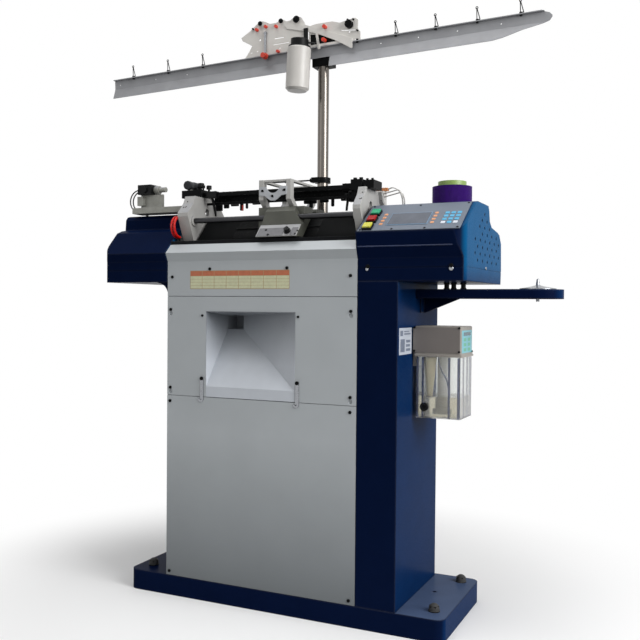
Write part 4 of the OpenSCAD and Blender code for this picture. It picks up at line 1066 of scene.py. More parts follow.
@dataclass(frozen=True)
class Machine:
    """What each solid of the machine is coated with."""

    smooth_below: float = 30.0
    coats: dict[Palette, tuple[str, ...]] = field(
        default_factory=lambda: {
            Palette.NAVY: (
                "base_plinth", "pedestal_shell", "rear_panel", "left_wing_cover",
                "right_wing_cover", "yarn_tray",
            ),
            Palette.PALE: ("upper_front_cover", "middle_front_panel", "lower_front_panel"),
            Palette.CHUTE: ("chute_funnel",),
            Palette.CAST_IRON: ("bed_table",),
            Palette.CONSOLE_FILM: ("console_panel",),
            Palette.FILM_BLUE: ("console_display",),
            Palette.CAST_ALUMINIUM: ("left_end_bracket", "right_end_bracket", "carriage_arch"),
            Palette.STAND_POWDER: ("stand_plates",),
            Palette.FEEDER_CASTING: ("feeder_bracket",),
            Palette.GREY_CASTING: ("carriage_cam_blocks",),
            Palette.OILED_BAR: ("guide_rods",),
            Palette.NEEDLE_STEEL: ("needles",),
            Palette.GROUND_STEEL_IN_SHADE: ("front_needle_bed", "rear_needle_bed"),
            Palette.BRIGHT_STEEL: (
                "bag_hook_left", "bag_hook_right", "drive_pulley", "idler_pulley",
                "sensing_arm", "tray_fittings",
            ),
            Palette.BLACK_OXIDE: (
                "levelling_bolts", "panel_screws", "yarn_rails", "rail_end_blocks",
                "yarn_guides", "tension_units", "yarn_carrier_right", "pole_clamps",
            ),
            Palette.BLACK_ABS: (
                "button_housings", "stitch_knob", "yarn_carrier_left", "feeder_motor",
                "bottle_cap",
            ),
            Palette.WHITE_ABS: ("lubricator_pump", "signal_wiring"),
            Palette.GREY_ABS: ("carriage_yoke",),
            Palette.BEIGE_ABS: ("lubricator_body",),
            Palette.CLEAR: ("lubricator_tank",),
            Palette.MILKY: ("yarn_bottle",),
            Palette.STAINLESS: ("yarn_pole",),
            Palette.MILL_ALUMINIUM: ("yarn_beam",),
            Palette.RED_PLASTIC: ("tension_knobs",),
            Palette.RED_HOSE: ("red_hoses",),
            Palette.BLACK_RUBBER: ("cable_loops", "drive_belt"),
            Palette.GREEN_TUBE: ("yarn_tube",),
            Palette.YARN: ("yarn_package",),
            Palette.GREEN_ACRYLIC: ("green_button",),
            Palette.RED_ACRYLIC: ("red_button",),
            Palette.YELLOW_ACRYLIC: ("yellow_button",),
            Palette.KEY_CYAN: ("keypad_keys",),
        }
    )

    def build(self) -> None:
        """Coat every solid and soften its curved faces."""
        bare = dict(frame["nodes"])
        for finish, nodes in self.coats.items():
            for node in nodes:
                mesh = bare.pop(node).data
                mesh.materials.clear()
                mesh.materials.append(made_finish(finish.value))
                mesh.shade_smooth()
                mesh.set_sharp_from_angle(angle=math.radians(self.smooth_below))
        if bare:
            raise ValueError(f"no finish for {sorted(bare)}")
        log.info("coated %d solids", len(frame["nodes"]))


@dataclass(frozen=True)
class FrontLabel:
    """The printed strip on the upper cover: a coloured heading and plain fields, no words."""

    low: Pair = mm(88, 23)
    high: Pair = mm(450, 82)
    heading: float = 17 * MM
    columns: int = 8
    rows: int = 4
    gap: float = 1.6 * MM
    film: float = 0.3 * MM
    ink: float = 0.1 * MM

    def build(self) -> None:
        """Lay the film, its heading and its fields."""
        cover, _, _ = face_of("upper_front_cover", FRONT, UP)
        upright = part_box("middle_front_panel")[0].y
        plane = Plane(Vector((cover.origin.x, upright, cover.origin.z)), RIGHT, UP)
        film = slab(plane, self.low, self.high, 0.0, self.film, 1.5 * MM)
        fit("label_film", Palette.RULE_PRINT, film)
        split = self.high[1] - self.heading
        pitch = (self.high[0] - self.low[0] - self.gap) / self.columns
        rise = (split - self.low[1] - self.gap) / self.rows
        heads, fields = [], []
        for column in range(self.columns):
            left = self.low[0] + self.gap + column * pitch
            right = left + pitch - self.gap
            heads.append(self.patch(plane, (left, split), (right, self.high[1] - self.gap)))
            for row in range(self.rows):
                foot = self.low[1] + self.gap + row * rise
                fields.append(
                    self.patch(plane, (left, foot), (right, foot + rise - self.gap / 2))
                )
        fit("label_heads", Palette.HEADER_PRINT, joined(heads))
        fit("label_fields", Palette.FIELD_PRINT, joined(fields))

    def patch(self, plane: Plane, low: Pair, high: Pair) -> Mesh:
        """One printed field, a hair proud of the film.

        Args:
            plane: the cover's face.
            low: its lowest u and v.
            high: its highest u and v.

        Returns:
            Its mesh.
        """
        return slab(plane, low, high, self.film, self.ink, 0.4 * MM, steps=2)


@dataclass(frozen=True)
class ColumnSticker:
    """A pale vinyl sticker on the pedestal's side, with plain grey blocks for its print."""

    low: Pair = mm(14, 751)
    high: Pair = mm(126, 830)
    film: float = 0.3 * MM
    ink: float = 0.1 * MM
    blocks: tuple[tuple[float, float, float, float], ...] = (
        (0.08, 0.70, 0.30, 0.90), (0.38, 0.74, 0.90, 0.80), (0.38, 0.84, 0.80, 0.88),
        (0.10, 0.10, 0.44, 0.58), (0.54, 0.12, 0.90, 0.22), (0.54, 0.28, 0.86, 0.38),
        (0.54, 0.44, 0.90, 0.54),
    )

    def build(self) -> None:
        """Lay the sticker and its blocks, which are placed by shares of its size."""
        plane, _, _ = face_of("pedestal_shell", RIGHT, UP)
        film = slab(plane, self.low, self.high, 0.0, self.film, 3 * MM)
        fit("sticker_film", Palette.STICKER, film)
        prints = [
            slab(plane, self.point(u0, v0), self.point(u1, v1), self.film, self.ink, 0.5 * MM,
                 steps=2)
            for u0, v0, u1, v1 in self.blocks
        ]
        fit("sticker_blocks", Palette.STICKER_INK, joined(prints))

    def point(self, u: float, v: float) -> Pair:
        """A place on the sticker, from shares of its width and height."""
        return (
            self.low[0] + u * (self.high[0] - self.low[0]),
            self.low[1] + v * (self.high[1] - self.low[1]),
        )


@dataclass(frozen=True)
class Console:
    """The operator's console: display window, domed membrane keys and the plate's screws."""

    window_low: Pair = mm(88, 34)
    window_high: Pair = mm(208, 100.5)
    dome: float = 1.2 * MM
    menu_key: float = 11 * MM
    menu_columns: tuple[float, ...] = mm(67, 223)
    menu_rows: tuple[float, ...] = mm(40.5, 59.5, 78.5, 97.5)
    pad_key: float = 13 * MM
    pad_columns: tuple[float, ...] = mm(255.5, 273.5, 291.5)
    pad_rows: tuple[float, ...] = mm(38.5, 57.5, 76.5, 95.5)
    screw: float = 3.4 * MM
    screws: tuple[Pair, ...] = (
        mm(12, 9), mm(110, 9), mm(209, 9), mm(305, 9), mm(12, 153), mm(160, 150), mm(305, 153),
    )

    def plane(self) -> Plane:
        """The console's slope: u from the white panels' edge, v up the slope."""
        out = joint_axis(Body.GREEN)
        up = RIGHT.cross(out) * -1
        face, _, _ = face_of("console_panel", out, up)
        return Plane(face.origin - RIGHT * 4 * MM - up * 3 * MM, face.across, up)

    def build(self) -> None:
        """Lay the window, the keys and the screws."""
        plane = self.plane()
        window = slab(plane, self.window_low, self.window_high, 1.4 * MM, 0.5 * MM, 1.5 * MM)
        fit("lcd_window", Palette.LCD, window)
        orange = [
            self.membrane(plane, u, v, self.menu_key)
            for u in self.menu_columns for v in self.menu_rows
        ]
        cyan, white = [], []
        for column, u in enumerate(self.pad_columns):
            for row, v in enumerate(self.pad_rows):
                pale = row == 0 and column != 1
                (white if pale else cyan).append(self.membrane(plane, u, v, self.pad_key))
        piece = fit("keys_cyan", Palette.KEY_CYAN, joined(cyan))
        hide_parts("keypad_keys")
        fit("keys_orange", Palette.KEY_ORANGE, joined(orange))
        fit("keys_white", Palette.KEY_WHITE, joined(white))
        heads = [Head.PAN.on(plane, u, v, self.screw) for u, v in self.screws]
        fit("console_screws", Palette.BLACK_OXIDE, joined(heads))

    def membrane(self, plane: Plane, u: float, v: float, size: float) -> Mesh:
        """A domed membrane key.

        Args:
            plane: the console's slope.
            u: its middle.
            v: its middle.
            size: its width and height.

        Returns:
            Its mesh.
        """
        half = size / 2
        return slab(
            plane, (u - half, v - half), (u + half, v + half), 0.0, self.dome, 3 * MM, steps=5
        )


@dataclass(frozen=True)
class Lubricator:
    """The lubricator's housing, plate, screws, print, tank ribs, strainer, oil and drain plug.

    The body's box also holds its filler cap, its flange and its mounting plate; below, plate_drop
    and the insets lead from that box to the housing's own walls.
    """

    cap_proud: float = 9 * MM
    flange_proud: float = 4 * MM
    plate_drop: float = 30 * MM
    plate_rise: float = 14 * MM
    flange_height: float = 8 * MM
    depth: float = 128 * MM
    rim: float = 3.5 * MM
    screw: float = 3.4 * MM
    film: float = 0.4 * MM
    ink: float = 0.3 * MM
    # Shares of the film: the window's place and size, the blocks' size, columns and rows.
    window: tuple[float, float, float, float] = (0.16, 0.76, 0.7, 0.16)
    block: Pair = (0.24, 0.14)
    columns: Pair = (0.18, 0.58)
    rows: Triple = (0.08, 0.3, 0.52)
    oil_depth: float = 62 * MM
    wall: float = 3.4 * MM
    rib: float = 6 * MM
    ribs: tuple[Pair, ...] = (
        (0.0, 0.0), (0.0, 0.93), (0.93, 0.0), (0.93, 0.93), (0.12, 0.0), (0.72, 0.0),
        (0.95, 0.3), (0.95, 0.62),
    )
    strainer_at: Triple = mm(34, 30, 60)
    plug_at: Triple = mm(26, 0, 34)
    pipe: float = 2.2 * MM
    pipe_at: Pair = mm(62, 26)
    pipe_bends: tuple[Triple, ...] = (
        mm(0, 0, -2), mm(2, 0, -22), mm(10, 2, -46), mm(22, 6, -68), mm(28, 10, -94),
        mm(29, 10, -118),
    )

    def build(self) -> None:
        """Mould the housing, lay the plate, the print and the screws on it, dress the tank."""
        low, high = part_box("lubricator_body")
        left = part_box("pedestal_shell")[1].x
        corner = Vector((left, low.y + self.cap_proud, low.z + self.plate_drop))
        front = Plane(corner, RIGHT, UP)
        width = high.x - self.flange_proud - left
        height = high.z - self.plate_rise - corner.z
        foot = self.flange_height + self.rim
        self.housing(corner, width, height)
        plate = slab(
            front, (self.rim, foot), (width - self.rim, height - self.rim), 0.0, 1 * MM, 4 * MM
        )
        fit("lubricator_plate", Palette.WARM_PLATE, plate)
        side = Plane(corner + RIGHT * width, BACK, UP)
        screws = [
            Head.CAP.on(plane, u, v, self.screw)
            for plane, u, v in (
                (front, width - 6 * MM, height - 5 * MM), (front, width - 6 * MM, foot + 5 * MM),
                (front, 8 * MM, foot + 5 * MM), (front, 8 * MM, height - 5 * MM),
                (side, self.depth - 6 * MM, foot + 2 * MM),
            )
        ]
        fit("lubricator_screws", Palette.BLACK_OXIDE, joined(screws))
        self.printed_side(side, height)
        self.tank()

    def housing(self, corner: Vector, width: float, height: float) -> None:
        """Mould the housing with rounded corners over a flange, on its mounting plate.

        Args:
            corner: its lower left front corner.
            width: its reach from the pedestal.
            height: its height.
        """
        floor = Plane(corner, RIGHT, BACK)
        lip, depth = self.flange_proud, self.depth
        parts = [
            slab(floor, (8 * MM, 0.0), (width, depth), 0.2 * MM, height - 0.2 * MM, 5 * MM,
                 steps=8),
            slab(floor, (6 * MM, -lip), (width + lip, depth + lip), 0.0, self.flange_height,
                 6 * MM),
            slab(floor, (0.0, 10 * MM), (10 * MM, depth - 10 * MM), -self.plate_drop,
                 height + self.plate_drop - 4 * MM, 2 * MM),
        ]
        piece = fit("lubricator_housing", Palette.BEIGE_ABS, joined(parts))
        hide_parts("lubricator_body")

    def printed_side(self, side: Plane, height: float) -> None:
        """Lay the turquoise film, with a dark window and two columns of plain green blocks.

        Args:
            side: the housing's right face.
            height: how high the housing is.
        """
        low = (8 * MM, self.flange_height + 4 * MM)
        high = (self.depth - 8 * MM, height - 12 * MM)
        film = slab(side, low, high, 0.0, self.film, 2 * MM)
        fit("lubricator_print", Palette.TEAL_PRINT, film)
        span, rise = high[0] - low[0], high[1] - low[1]
        patches = [(*self.window, 1 * MM)]
        patches += [(u, v, *self.block, 1.5 * MM) for u in self.columns for v in self.rows]
        window, *blocks = (
            slab(side, (low[0] + u * span, low[1] + v * rise),
                 (low[0] + (u + across) * span, low[1] + (v + up) * rise),
                 self.film, self.ink, corner)
            for u, v, across, up, corner in patches
        )
        fit("lubricator_window", Palette.WINDOW_INK, window)
        fit("lubricator_blocks", Palette.TEAL_INK, joined(blocks))

    def tank(self) -> None:
        """Fill the tank's foot with oil, and give it ribs, a strainer, a bent pipe and a plug."""
        low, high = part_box("lubricator_tank")
        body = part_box("lubricator_body")[0].z + self.plate_drop
        floor = Plane(low.copy(), RIGHT, BACK)
        size = high - low
        oil = slab(
            floor, (self.wall, self.wall), (size.x - self.wall, size.y - self.wall),
            self.wall, self.oil_depth, 4 * MM,
        )
        fit("tank_oil", Palette.OIL, oil)
        rise = body - low.z - self.wall
        # The ribs stand at the tank's corners in a navy tint: painted reflection of the dark
        # pedestal.
        ribs = []
        for u, v in self.ribs:
            near = (u * size.x + 0.4 * MM, v * size.y + 0.4 * MM)
            far = (near[0] + self.rib, near[1] + self.rib)
            ribs.append(slab(floor, near, far, 1 * MM, rise, 1.2 * MM))
        fit("tank_ribs", Palette.TANK_PAINTED_IMAGE, joined(ribs))
        cone = [
            *rings_mm((6, 0), (8, 4), (14, 60)), (20 * MM, rise - 62 * MM),
            (21 * MM, rise - 60 * MM),
        ]
        strainer = turned(low + Vector(self.strainer_at), UP, cone)
        fit("filler_strainer", Palette.CREAM_NYLON, strainer)
        start = Vector((low.x + self.pipe_at[0], low.y + self.pipe_at[1], body))
        drop = tube(eased([start + Vector(bend) for bend in self.pipe_bends]), self.pipe)
        # Tinted like the tank's corners: painted reflection of the pedestal.
        fit("return_pipe", Palette.TANK_PAINTED_IMAGE, drop, smooth_below=60.0)
        plug = turned(
            low + Vector(self.plug_at), FRONT,
            rings_mm((13, -3.4), (13, 5), (11.5, 6.5), (8, 6.5), (7, 4)),
        )
        fit("drain_plug", Palette.BLACK_ABS, plug)


@dataclass(frozen=True)
class WingFasteners:
    """The locks and screws that hold the right housing shut."""

    in_front: tuple[Triple, ...] = (mm(284, 35, 6.5), mm(30, 35, 5))
    in_end: Pair = mm(44, 5)
    end_share: float = 0.55

    def build(self) -> None:
        """Make the locks in the housing's front and the screw in its right end."""
        front, _, _ = face_of("right_wing_cover", FRONT, UP)
        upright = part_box("middle_front_panel")[0].y
        wall = Plane(Vector((front.origin.x, upright, front.origin.z)), RIGHT, UP)
        locks = [Head.QUARTER_TURN.on(wall, u, v, radius) for u, v, radius in self.in_front]
        side, depth, _ = face_of("right_wing_cover", RIGHT, UP)
        locks.append(Head.QUARTER_TURN.on(side, self.end_share * depth, *self.in_end))
        fit("housing_locks", Palette.BRIGHT_STEEL, joined(locks))


@dataclass(frozen=True)
class HousingBead:
    """A bead along the crease of the right housing's front, in lighter navy: a painted highlight on
    the crease.
    """

    radius: float = 2.2 * MM
    from_start: float = 5 * MM
    short_of_end: float = 34 * MM
    sunk: float = 0.9 * MM
    crease_in: Pair = mm(4, 8)
    crease_below: float = 1.15

    def build(self) -> None:
        """Lay the bead from the white panels to the rounded corner."""
        low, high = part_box("right_wing_cover")
        near, far = (low.y + inset for inset in self.crease_in)
        crease = next(
            v.co for v in frame["nodes"]["right_wing_cover"].data.vertices
            if near < v.co.y < far and v.co.z < self.crease_below
        )
        start = Vector((low.x + self.from_start, crease.y + self.sunk, crease.z))
        end = Vector((high.x - self.short_of_end, crease.y + self.sunk, crease.z))
        line = [start.lerp(end, i / 40) for i in range(41)]
        fit("housing_crease_highlight", Palette.NAVY_HIGHLIGHT, tube(line, self.radius))


@dataclass(frozen=True)
class PoleStay:
    """The thin black rod that the pole's clamp holds out level behind the carriage."""

    reach: float = 100 * MM
    radius: float = 2.6 * MM
    grip: float = 7 * MM
    lug: Triple = mm(-30, 118, 1392)

    def build(self) -> None:
        """Make the rod, the nut that grips it and its rounded end."""
        tip = self.radius * 1.7
        rod = turned(
            Vector(self.lug), RIGHT * -1,
            (
                (self.grip, 0.0), (self.grip, 6 * MM), (self.grip * 0.8, 7 * MM),
                (self.radius, 7 * MM), (self.radius, self.reach), (tip, self.reach),
                (tip, self.reach + 4 * MM), (self.radius, self.reach + 6 * MM),
            ),
            sides=18,
        )
        fit("pole_stay", Palette.BLACK_OXIDE, rod)


@dataclass(frozen=True)
class Hose:
    """A flexible line that leaves one fitting and goes back into another."""

    name: str
    slot: str
    finish: Palette
    diameter: float
    points: tuple[Vector, ...]

    def build(self) -> None:
        """Make the tube."""
        line = eased(self.points)
        piece = fit(
            self.name, self.finish, tube(line, self.diameter / 2), smooth_below=60.0
        )


@dataclass(frozen=True)
class RearConnectors:
    """Orange plugs and pale leads on the signal post behind the right bracket."""

    post_depth: float = 30 * MM
    # Place on the post, then width, depth and height.
    plugs: tuple[tuple[Triple, Triple], ...] = (
        (mm(32, 7, 0), mm(40, 15, 11)), (mm(0, 6, 0), mm(27, 16, 16)),
        (mm(16, -9, -28), mm(26, 9, 13)),
    )
    ribs: int = 4
    leads_from: Triple = mm(72, 14, 6)
    lead: float = 3 * MM
    drift: float = -20 * MM
    # Along X, share of the sideways drift, and up.
    route: tuple[Triple, ...] = (
        (0.0, 1 / 5, 0.0), (16.0, 1 / 3, 4.0), (36.0, 1 / 1.6, -4.0), (52.0, 1.0, -24.0),
        (58.0, 1.1, -50.0), (58.0, 1.1, -81.0),
    )

    def build(self) -> None:
        """Make the plugs and the leads."""
        low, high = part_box("signal_wiring")
        corner = Vector((low.x, high.y - self.post_depth, high.z))
        plugs = [self.plug(corner + Vector(place), *size) for place, size in self.plugs]
        fit("wiring_plugs", Palette.ORANGE_PLASTIC, joined(plugs))
        start = corner + Vector(self.leads_from)
        for name, drift in (("lead_rear", 0.0), ("lead_front", self.drift)):
            points = tuple(
                start + Vector((along * MM, share * drift, up * MM))
                for along, share, up in self.route
            )
            Hose(name, "white_plastic", Palette.WHITE_ABS, self.lead, points).build()

    def plug(self, foot: Vector, width: float, depth: float, height: float) -> Mesh:
        """A moulded plug with a ribbed grip.

        Args:
            foot: its lower left front corner.
            width: its length along X.
            depth: its size along Y.
            height: its height.

        Returns:
            Its mesh.
        """
        floor = Plane(foot, RIGHT, BACK)
        parts = [slab(floor, (0.0, 0.0), (width, depth), 0.0, height, 2 * MM)]
        proud = 0.8 * MM
        for rib in range(self.ribs):
            left = width * (0.2 + 0.18 * rib)
            parts.append(
                slab(floor, (left, -proud), (left + 2 * MM, depth + proud), 0.6 * MM, height,
                     proud, steps=2)
            )
        return joined(parts)


def bed_corner() -> Vector:
    """Where the knitting head's own sizes count from: the front plane, on the bed table."""
    return Vector((0.0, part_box("middle_front_panel")[0].y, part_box("bed_table")[1].z))


@dataclass(frozen=True)
class RearRail:
    """The fixed rail behind the yarn carriers, with its screws, stops and hanging levers."""

    depth: Pair = mm(166, 172)
    rise: Pair = mm(141, 168)
    end_gap: float = 2 * MM
    pitch: float = 26 * MM
    # Each lever's left side, width and foot.
    levers: tuple[Triple, ...] = (
        mm(-322, 26, 112), mm(-290, 20, 120), mm(-262, 30, 126), mm(-226, 12, 110),
        mm(-204, 8, 116), mm(-178, 34, 128), mm(-140, 9, 108), mm(-122, 7, 110),
        mm(14, 46, 122), mm(34, 12, 108), mm(72, 30, 124), mm(112, 10, 110),
        mm(146, 34, 126), mm(190, 40, 116),
    )
    stop: Block = (mm(196, 240), mm(106, 122), mm(114, 148), 5 * MM)
    stop_arm: Block = (mm(184, 197), mm(106, 120), mm(122, 140), 3 * MM)
    tip: Block = (mm(-216, -211), mm(163, 166.5), mm(109, 128), 1.5 * MM)
    # Each knob's X and radius.
    knobs: tuple[Pair, ...] = ((-292, 7), (-268, 5), (-236, 6), (-158, 7), (96, 7))
    knob_foot: Pair = (171, 167)
    stud: float = 2.6 * MM
    stud_rows: Pair = mm(148, 160)
    bolt: float = 4.2 * MM
    bolts: tuple[Pair, ...] = (mm(204, 122), mm(232, 122), mm(204, 140), mm(232, 140))

    def block(self, x: Pair, y: Pair, z: Pair, corner: float) -> Mesh:
        """A block of the head, its front corners rounded.

        Args:
            x: its reach along the beds.
            y: its reach back from the front plane.
            z: its reach up from the table.
            corner: radius of its corners.

        Returns:
            Its mesh.
        """
        plane = Plane(bed_corner() + BACK * y[1], RIGHT, UP)
        return slab(plane, (x[0], z[0]), (x[1], z[1]), 0.0, y[1] - y[0], corner)

    def build(self) -> None:
        """Make the rail, its levers, its stop, its knobs and screws, and one lever's red tip."""
        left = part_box("left_end_bracket")[1].x + self.end_gap
        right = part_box("right_end_bracket")[0].x - self.end_gap
        parts = [self.block((left, right), self.depth, self.rise, 2 * MM)]
        for x, width, foot in self.levers:
            hang = (foot, self.rise[0] + 2 * MM)
            parts.append(self.block((x, x + width), self.depth, hang, 3 * MM))
        parts.append(self.block(*self.stop))
        for x, radius in self.knobs:
            profile = rings_mm((3, 0), (radius, 1.5), (radius, 8.5), (radius * 0.8, 10))
            foot = bed_corner() + Vector((x, *self.knob_foot)) * MM
            parts.append(turned(foot, UP, profile, sides=24))
        parts.append(self.block(*self.stop_arm))
        fit("rear_rail", Palette.BLACK_OXIDE, joined(parts))
        self.screws(left, right)
        fit("lever_tip", Palette.RED_PLASTIC, self.block(*self.tip))

    def screws(self, left: float, right: float) -> None:
        """Put two staggered rows of studs along the rail, and four bolts in the stop.

        Args:
            left: the rail's left end.
            right: the rail's right end.
        """
        face = Plane(bed_corner() + BACK * self.depth[0], RIGHT, UP)
        stop = Plane(bed_corner() + BACK * self.stop[1][0], RIGHT, UP)
        heads = []
        for i in range(int((right - left) / self.pitch)):
            u = left + (i + 0.7) * self.pitch
            for v in self.stud_rows:
                heads.append(Head.RAIL_STUD.on(face, u + v - self.stud_rows[0], v, self.stud))
        heads += [Head.STOP_BOLT.on(stop, u, v, self.bolt) for u, v in self.bolts]
        fit("rear_rail_screws", Palette.GROUND_STEEL_IN_SHADE, joined(heads))


@dataclass(frozen=True)
class SelectorKnobs:
    """Dark moulded knobs over the winder and beside the rails at the head's left end."""

    sleeve_at: Triple = mm(21, 100, 196)
    knob_foot: float = 176.0
    # Each knob's X, Y, middle height and radius, in millimetres from the bed's corner.
    knobs: tuple[tuple[float, float, float, float], ...] = (
        (-352.0, 122.0, 195.0, 11.0), (-338.0, 150.0, 190.0, 9.0),
    )

    def build(self) -> None:
        """Make the winder's sleeve and the knobs."""
        origin = bed_corner()
        rails = Vector((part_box("yarn_rails")[0].x, origin.y, origin.z))
        sleeve = turned(
            rails + Vector(self.sleeve_at), BACK,
            rings_mm(
                (9, -1), (14.5, 0.5), (15.2, 3), (15.2, 16), (14.2, 18), (14.2, 34), (15.2, 36),
                (15.2, 58), (13, 60),
            ),
            sides=40,
        )
        fit("winder_sleeve", Palette.KNURLED, sleeve)
        knobs = []
        for x, y, z, radius in self.knobs:
            rise = z - self.knob_foot
            profile = rings_mm(
                (4, 0), (4, rise - 6), (radius, rise - 5), (radius, rise + 6),
                (radius * 0.85, rise + 8),
            )
            foot = origin + Vector((x, y, self.knob_foot)) * MM
            knobs.append(turned(foot, UP, profile, sides=24))
        fit("selector_knobs", Palette.BLACK_ABS, joined(knobs))


@dataclass(frozen=True)
class CarriageTrim:
    """The cam plate's cover, and the screws in it and in the carriage's yoke."""

    # Shares of the yoke's width and height.
    yoke: tuple[Pair, ...] = ((0.12, 0.72), (0.92, 0.72), (0.48, 0.32))
    yoke_screw: float = 4.2 * MM
    cover_ends: Pair = mm(-103, 33)
    cover_half: float = 18 * MM
    # Across, up and radius, from the stitch knob's axis.
    plate: tuple[Triple, ...] = (
        mm(-78, 9, 4), mm(-64, -13, 4), mm(34, 2, 3), mm(30, -12, 3),
    )

    def build(self) -> None:
        """Lay the cover on both sides of the knob's spindle, and make the screws."""
        front, width, height = face_of("carriage_yoke", FRONT, UP)
        heads = [
            Head.SOCKET.on(front, u * width, v * height, self.yoke_screw) for u, v in self.yoke
        ]
        out = joint_axis(Body.KNOB)
        if out.y > 0:
            out = out * -1
        low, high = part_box("stitch_knob")
        middle = (low + high) / 2
        arch = [v.co for v in frame["nodes"]["carriage_arch"].data.vertices]
        foot = max(p.dot(out) for p in arch if p.z < high.z) - middle.dot(out)
        knob = [v.co - middle for v in frame["nodes"]["stitch_knob"].data.vertices]
        spindle = 1 * MM + max(
            (p - out * p.dot(out)).length for p in knob if p.dot(out) < foot + 2 * MM
        )
        base = Plane(middle + out * foot, RIGHT, out.cross(RIGHT))
        half, (left, right) = self.cover_half, self.cover_ends
        cover = [
            slab(base, (start, -half), (end, half), 0.0, 0.6 * MM, 2 * MM)
            for start, end in ((left, -spindle), (spindle, right))
        ]
        fit("cam_cover", Palette.CAM_COVER, joined(cover), Body.CARRIAGE)
        heads += [Head.SOCKET.on(base, u, v, radius) for u, v, radius in self.plate]
        fit("carriage_screws", Palette.BLACK_OXIDE, joined(heads), Body.CARRIAGE)


@dataclass(frozen=True)
class PostSleeves:
    """Black sleeves over the posts that hold the tray under the right housing."""

    offsets: tuple[float, ...] = mm(88, 110, 140)
    ahead: float = 40 * MM
    radius: float = 7.5 * MM
    collar: float = 9.5 * MM

    def build(self) -> None:
        """Slip a sleeve with two collars over each post."""
        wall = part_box("pedestal_shell")[1].x
        low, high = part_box("yarn_tray")
        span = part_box("right_wing_cover")[0].z - high.z
        profile = (
            (self.collar, 0.2 * MM), (self.collar, 3 * MM), (self.radius, 4 * MM),
            (self.radius, span - 5 * MM), (self.collar, span - 4 * MM),
            (self.collar, span - 0.2 * MM),
        )
        sleeves = [
            turned(Vector((wall + offset, (low.y + high.y) / 2 - self.ahead, high.z)), UP,
                   profile, sides=24)
            for offset in self.offsets
        ]
        fit("post_sleeves", Palette.BLACK_ABS, joined(sleeves))


@dataclass(frozen=True)
class BoltCaps:
    """Black moulded caps over the levelling bolts."""

    radius: float = 17 * MM
    height: float = 24 * MM
    skirt: float = 8 * MM
    steps: int = 9

    def build(self) -> None:
        """Put a domed cap over each bolt."""
        low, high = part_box("levelling_bolts")
        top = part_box("base_plinth")[1].z
        dome = self.radius - 1 * MM
        profile = [(self.radius, 0.2 * MM), (self.radius, 3 * MM), (dome, 4 * MM)]
        for step in range(1, self.steps):
            turn = math.pi / 2 * step / self.steps
            rise = self.skirt + (self.height - self.skirt) * math.sin(turn)
            profile.append((dome * math.cos(turn), rise))
        caps = [
            turned(Vector((x, y, top)), UP, profile)
            for x in (low.x + self.radius, high.x - self.radius)
            for y in (low.y + self.radius, high.y - self.radius)
        ]
        fit("bolt_caps", Palette.BLACK_RUBBER, joined(caps))


# Stage, light and camera -------------------------------------------------------------------------


@dataclass(frozen=True)
class Stage:
    """A pale floor that fades into a white surround."""

    radius: float = 9.0
    shade: str = "#F4F4F4"
    fade: Pair = (0.75, 1.5)
    ambient: float = 0.28

    def build(self) -> None:
        """Lay the floor and set the surround."""
        build = bmesh.new()
        bmesh.ops.create_circle(build, cap_ends=True, radius=self.radius, segments=96)
        floor = mesh_object("stage_floor", build)
        floor.data.materials.append(self.material())
        self.surround()

    def material(self) -> bpy.types.Material:
        """The floor's paint, which turns to plain white light away from the machine."""
        material = bpy.data.materials.new("stage_paint")
        material.use_nodes = True
        tree = material.node_tree
        tree.nodes.clear()
        place = add_node(tree, "ShaderNodeTexCoord").outputs["Object"]
        distance = add_node(
            tree, "ShaderNodeVectorMath", {0: place}, operation="LENGTH"
        ).outputs["Value"]
        far = add_node(
            tree, "ShaderNodeMapRange",
            {"Value": distance, "From Min": self.fade[0], "From Max": self.fade[1]},
            interpolation_type="SMOOTHSTEP",
        ).outputs["Result"]
        paint = add_node(
            tree, "ShaderNodeBsdfPrincipled",
            {"Base Color": linear(self.shade), "Roughness": 0.7, "Specular IOR Level": 0.2},
        ).outputs["BSDF"]
        glow = add_node(
            tree, "ShaderNodeEmission", {"Strength": self.seen(tree)}
        ).outputs["Emission"]
        mixed = add_node(tree, "ShaderNodeMixShader", {0: far, 1: paint, 2: glow})
        add_node(tree, "ShaderNodeOutputMaterial", {"Surface": mixed.outputs[0]})
        return material

    def surround(self) -> None:
        """White to the eye, grey as a light."""
        world = bpy.data.worlds.new("surround")
        world.use_nodes = True
        bpy.context.scene.world = world
        tree = world.node_tree
        tree.nodes.clear()
        glow = add_node(
            tree, "ShaderNodeBackground", {"Color": (1, 1, 1, 1), "Strength": self.seen(tree)}
        )
        add_node(tree, "ShaderNodeOutputWorld", {"Surface": glow.outputs["Background"]})

    def seen(self, tree: Tree) -> Socket:
        """Full white where it is seen, mirrored or looked through, and the ambient level as light.

        Args:
            tree: the nodes it goes in.

        Returns:
            The strength's socket.
        """
        path = add_node(tree, "ShaderNodeLightPath").outputs
        either = path["Is Transmission Ray"]
        for ray in ("Is Glossy Ray", "Is Camera Ray"):
            either = add_node(
                tree, "ShaderNodeMath", {0: path[ray], 1: either}, operation="MAXIMUM"
            ).outputs[0]
        return add_node(
            tree, "ShaderNodeMapRange", {"Value": either, "To Min": self.ambient, "To Max": 1.0}
        ).outputs["Result"]


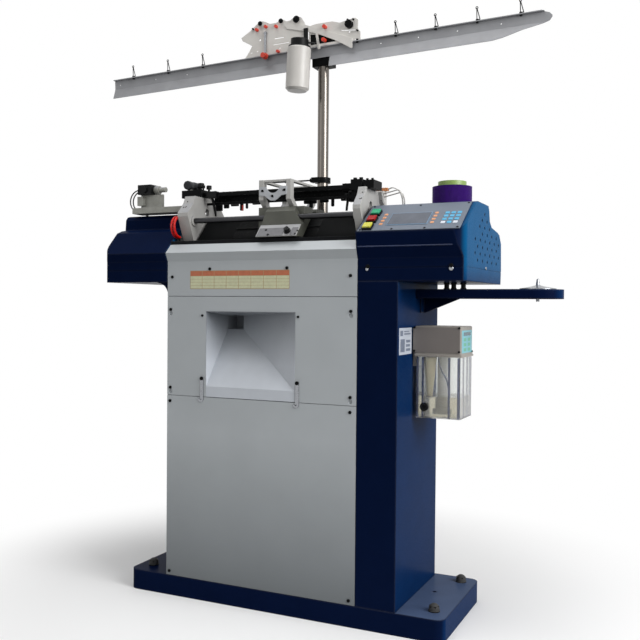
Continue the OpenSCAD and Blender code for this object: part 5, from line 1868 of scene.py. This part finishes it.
@dataclass(frozen=True)
class SoftLight:
    """A rectangular lamp aimed at a point."""

    name: str
    place: Triple
    aim: Triple
    width: float
    height: float
    watts: float

    def build(self) -> None:
        """Hang the lamp."""
        data = bpy.data.lights.new(self.name, "AREA")
        data.shape = "RECTANGLE"
        data.size = self.width
        data.size_y = self.height
        data.energy = self.watts
        lamp = bpy.data.objects.new(self.name, data)
        lamp.location = self.place
        towards = Vector(self.aim) - Vector(self.place)
        lamp.rotation_euler = towards.to_track_quat("-Z", "Y").to_euler()
        bpy.context.scene.collection.objects.link(lamp)


LIGHTS = (
    SoftLight("window_right", (3.6, -1.0, 2.3), (0.2, 0.0, 1.0), 2.2, 2.4, 155.0),
    SoftLight("ceiling", (-0.4, -0.6, 4.6), (0.0, 0.0, 0.8), 3.0, 2.6, 85.0),
    SoftLight("room_front", (-2.2, -4.2, 2.0), (0.0, 0.0, 0.9), 2.4, 2.0, 11.0),
)


@dataclass(frozen=True)
class Viewpoint:
    """The camera: where it stands, and where it looks."""

    place: Triple = (1.2190, -2.4957, 0.9589)
    turn: float = math.radians(24.9227)
    tilt: float = math.radians(-0.9603)
    roll: float = math.radians(0.4726)
    lens: float = 47.10
    sensor: float = 36.0
    sees_to: float = 60.0

    def build(self) -> None:
        """Set the scene's camera."""
        data = bpy.data.cameras.new("main_view")
        data.lens = self.lens
        data.sensor_width = self.sensor
        data.clip_end = self.sees_to
        camera = bpy.data.objects.new("main_view", data)
        level = Vector((math.cos(self.turn), math.sin(self.turn), 0.0))
        forward = UP.cross(level)
        ahead = forward * math.cos(self.tilt) + UP * math.sin(self.tilt)
        over = level.cross(ahead)
        right = level * math.cos(self.roll) + over * math.sin(self.roll)
        above = over * math.cos(self.roll) - level * math.sin(self.roll)
        turn = Matrix((right, above, -ahead)).transposed()
        camera.matrix_world = Matrix.Translation(self.place) @ turn.to_4x4()
        bpy.context.scene.collection.objects.link(camera)
        bpy.context.scene.camera = camera


def main() -> None:
    """Dress the machine, light it and aim the camera."""
    logging.basicConfig(level=logging.INFO, format="%(name)s: %(message)s")
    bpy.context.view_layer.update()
    Viewpoint().build()
    Machine().build()
    for assembly in (
        FrontLabel(), ColumnSticker(), Console(), Lubricator(), WingFasteners(), BoltCaps(),
        PoleStay(), RearConnectors(), RearRail(), SelectorKnobs(), CarriageTrim(),
        HousingBead(), PostSleeves(),
    ):
        assembly.build()
    Stage().build()
    for light in LIGHTS:
        light.build()
    view = bpy.context.scene.view_settings
    view.view_transform = "Standard"


if __name__ == "__main__":
    main()
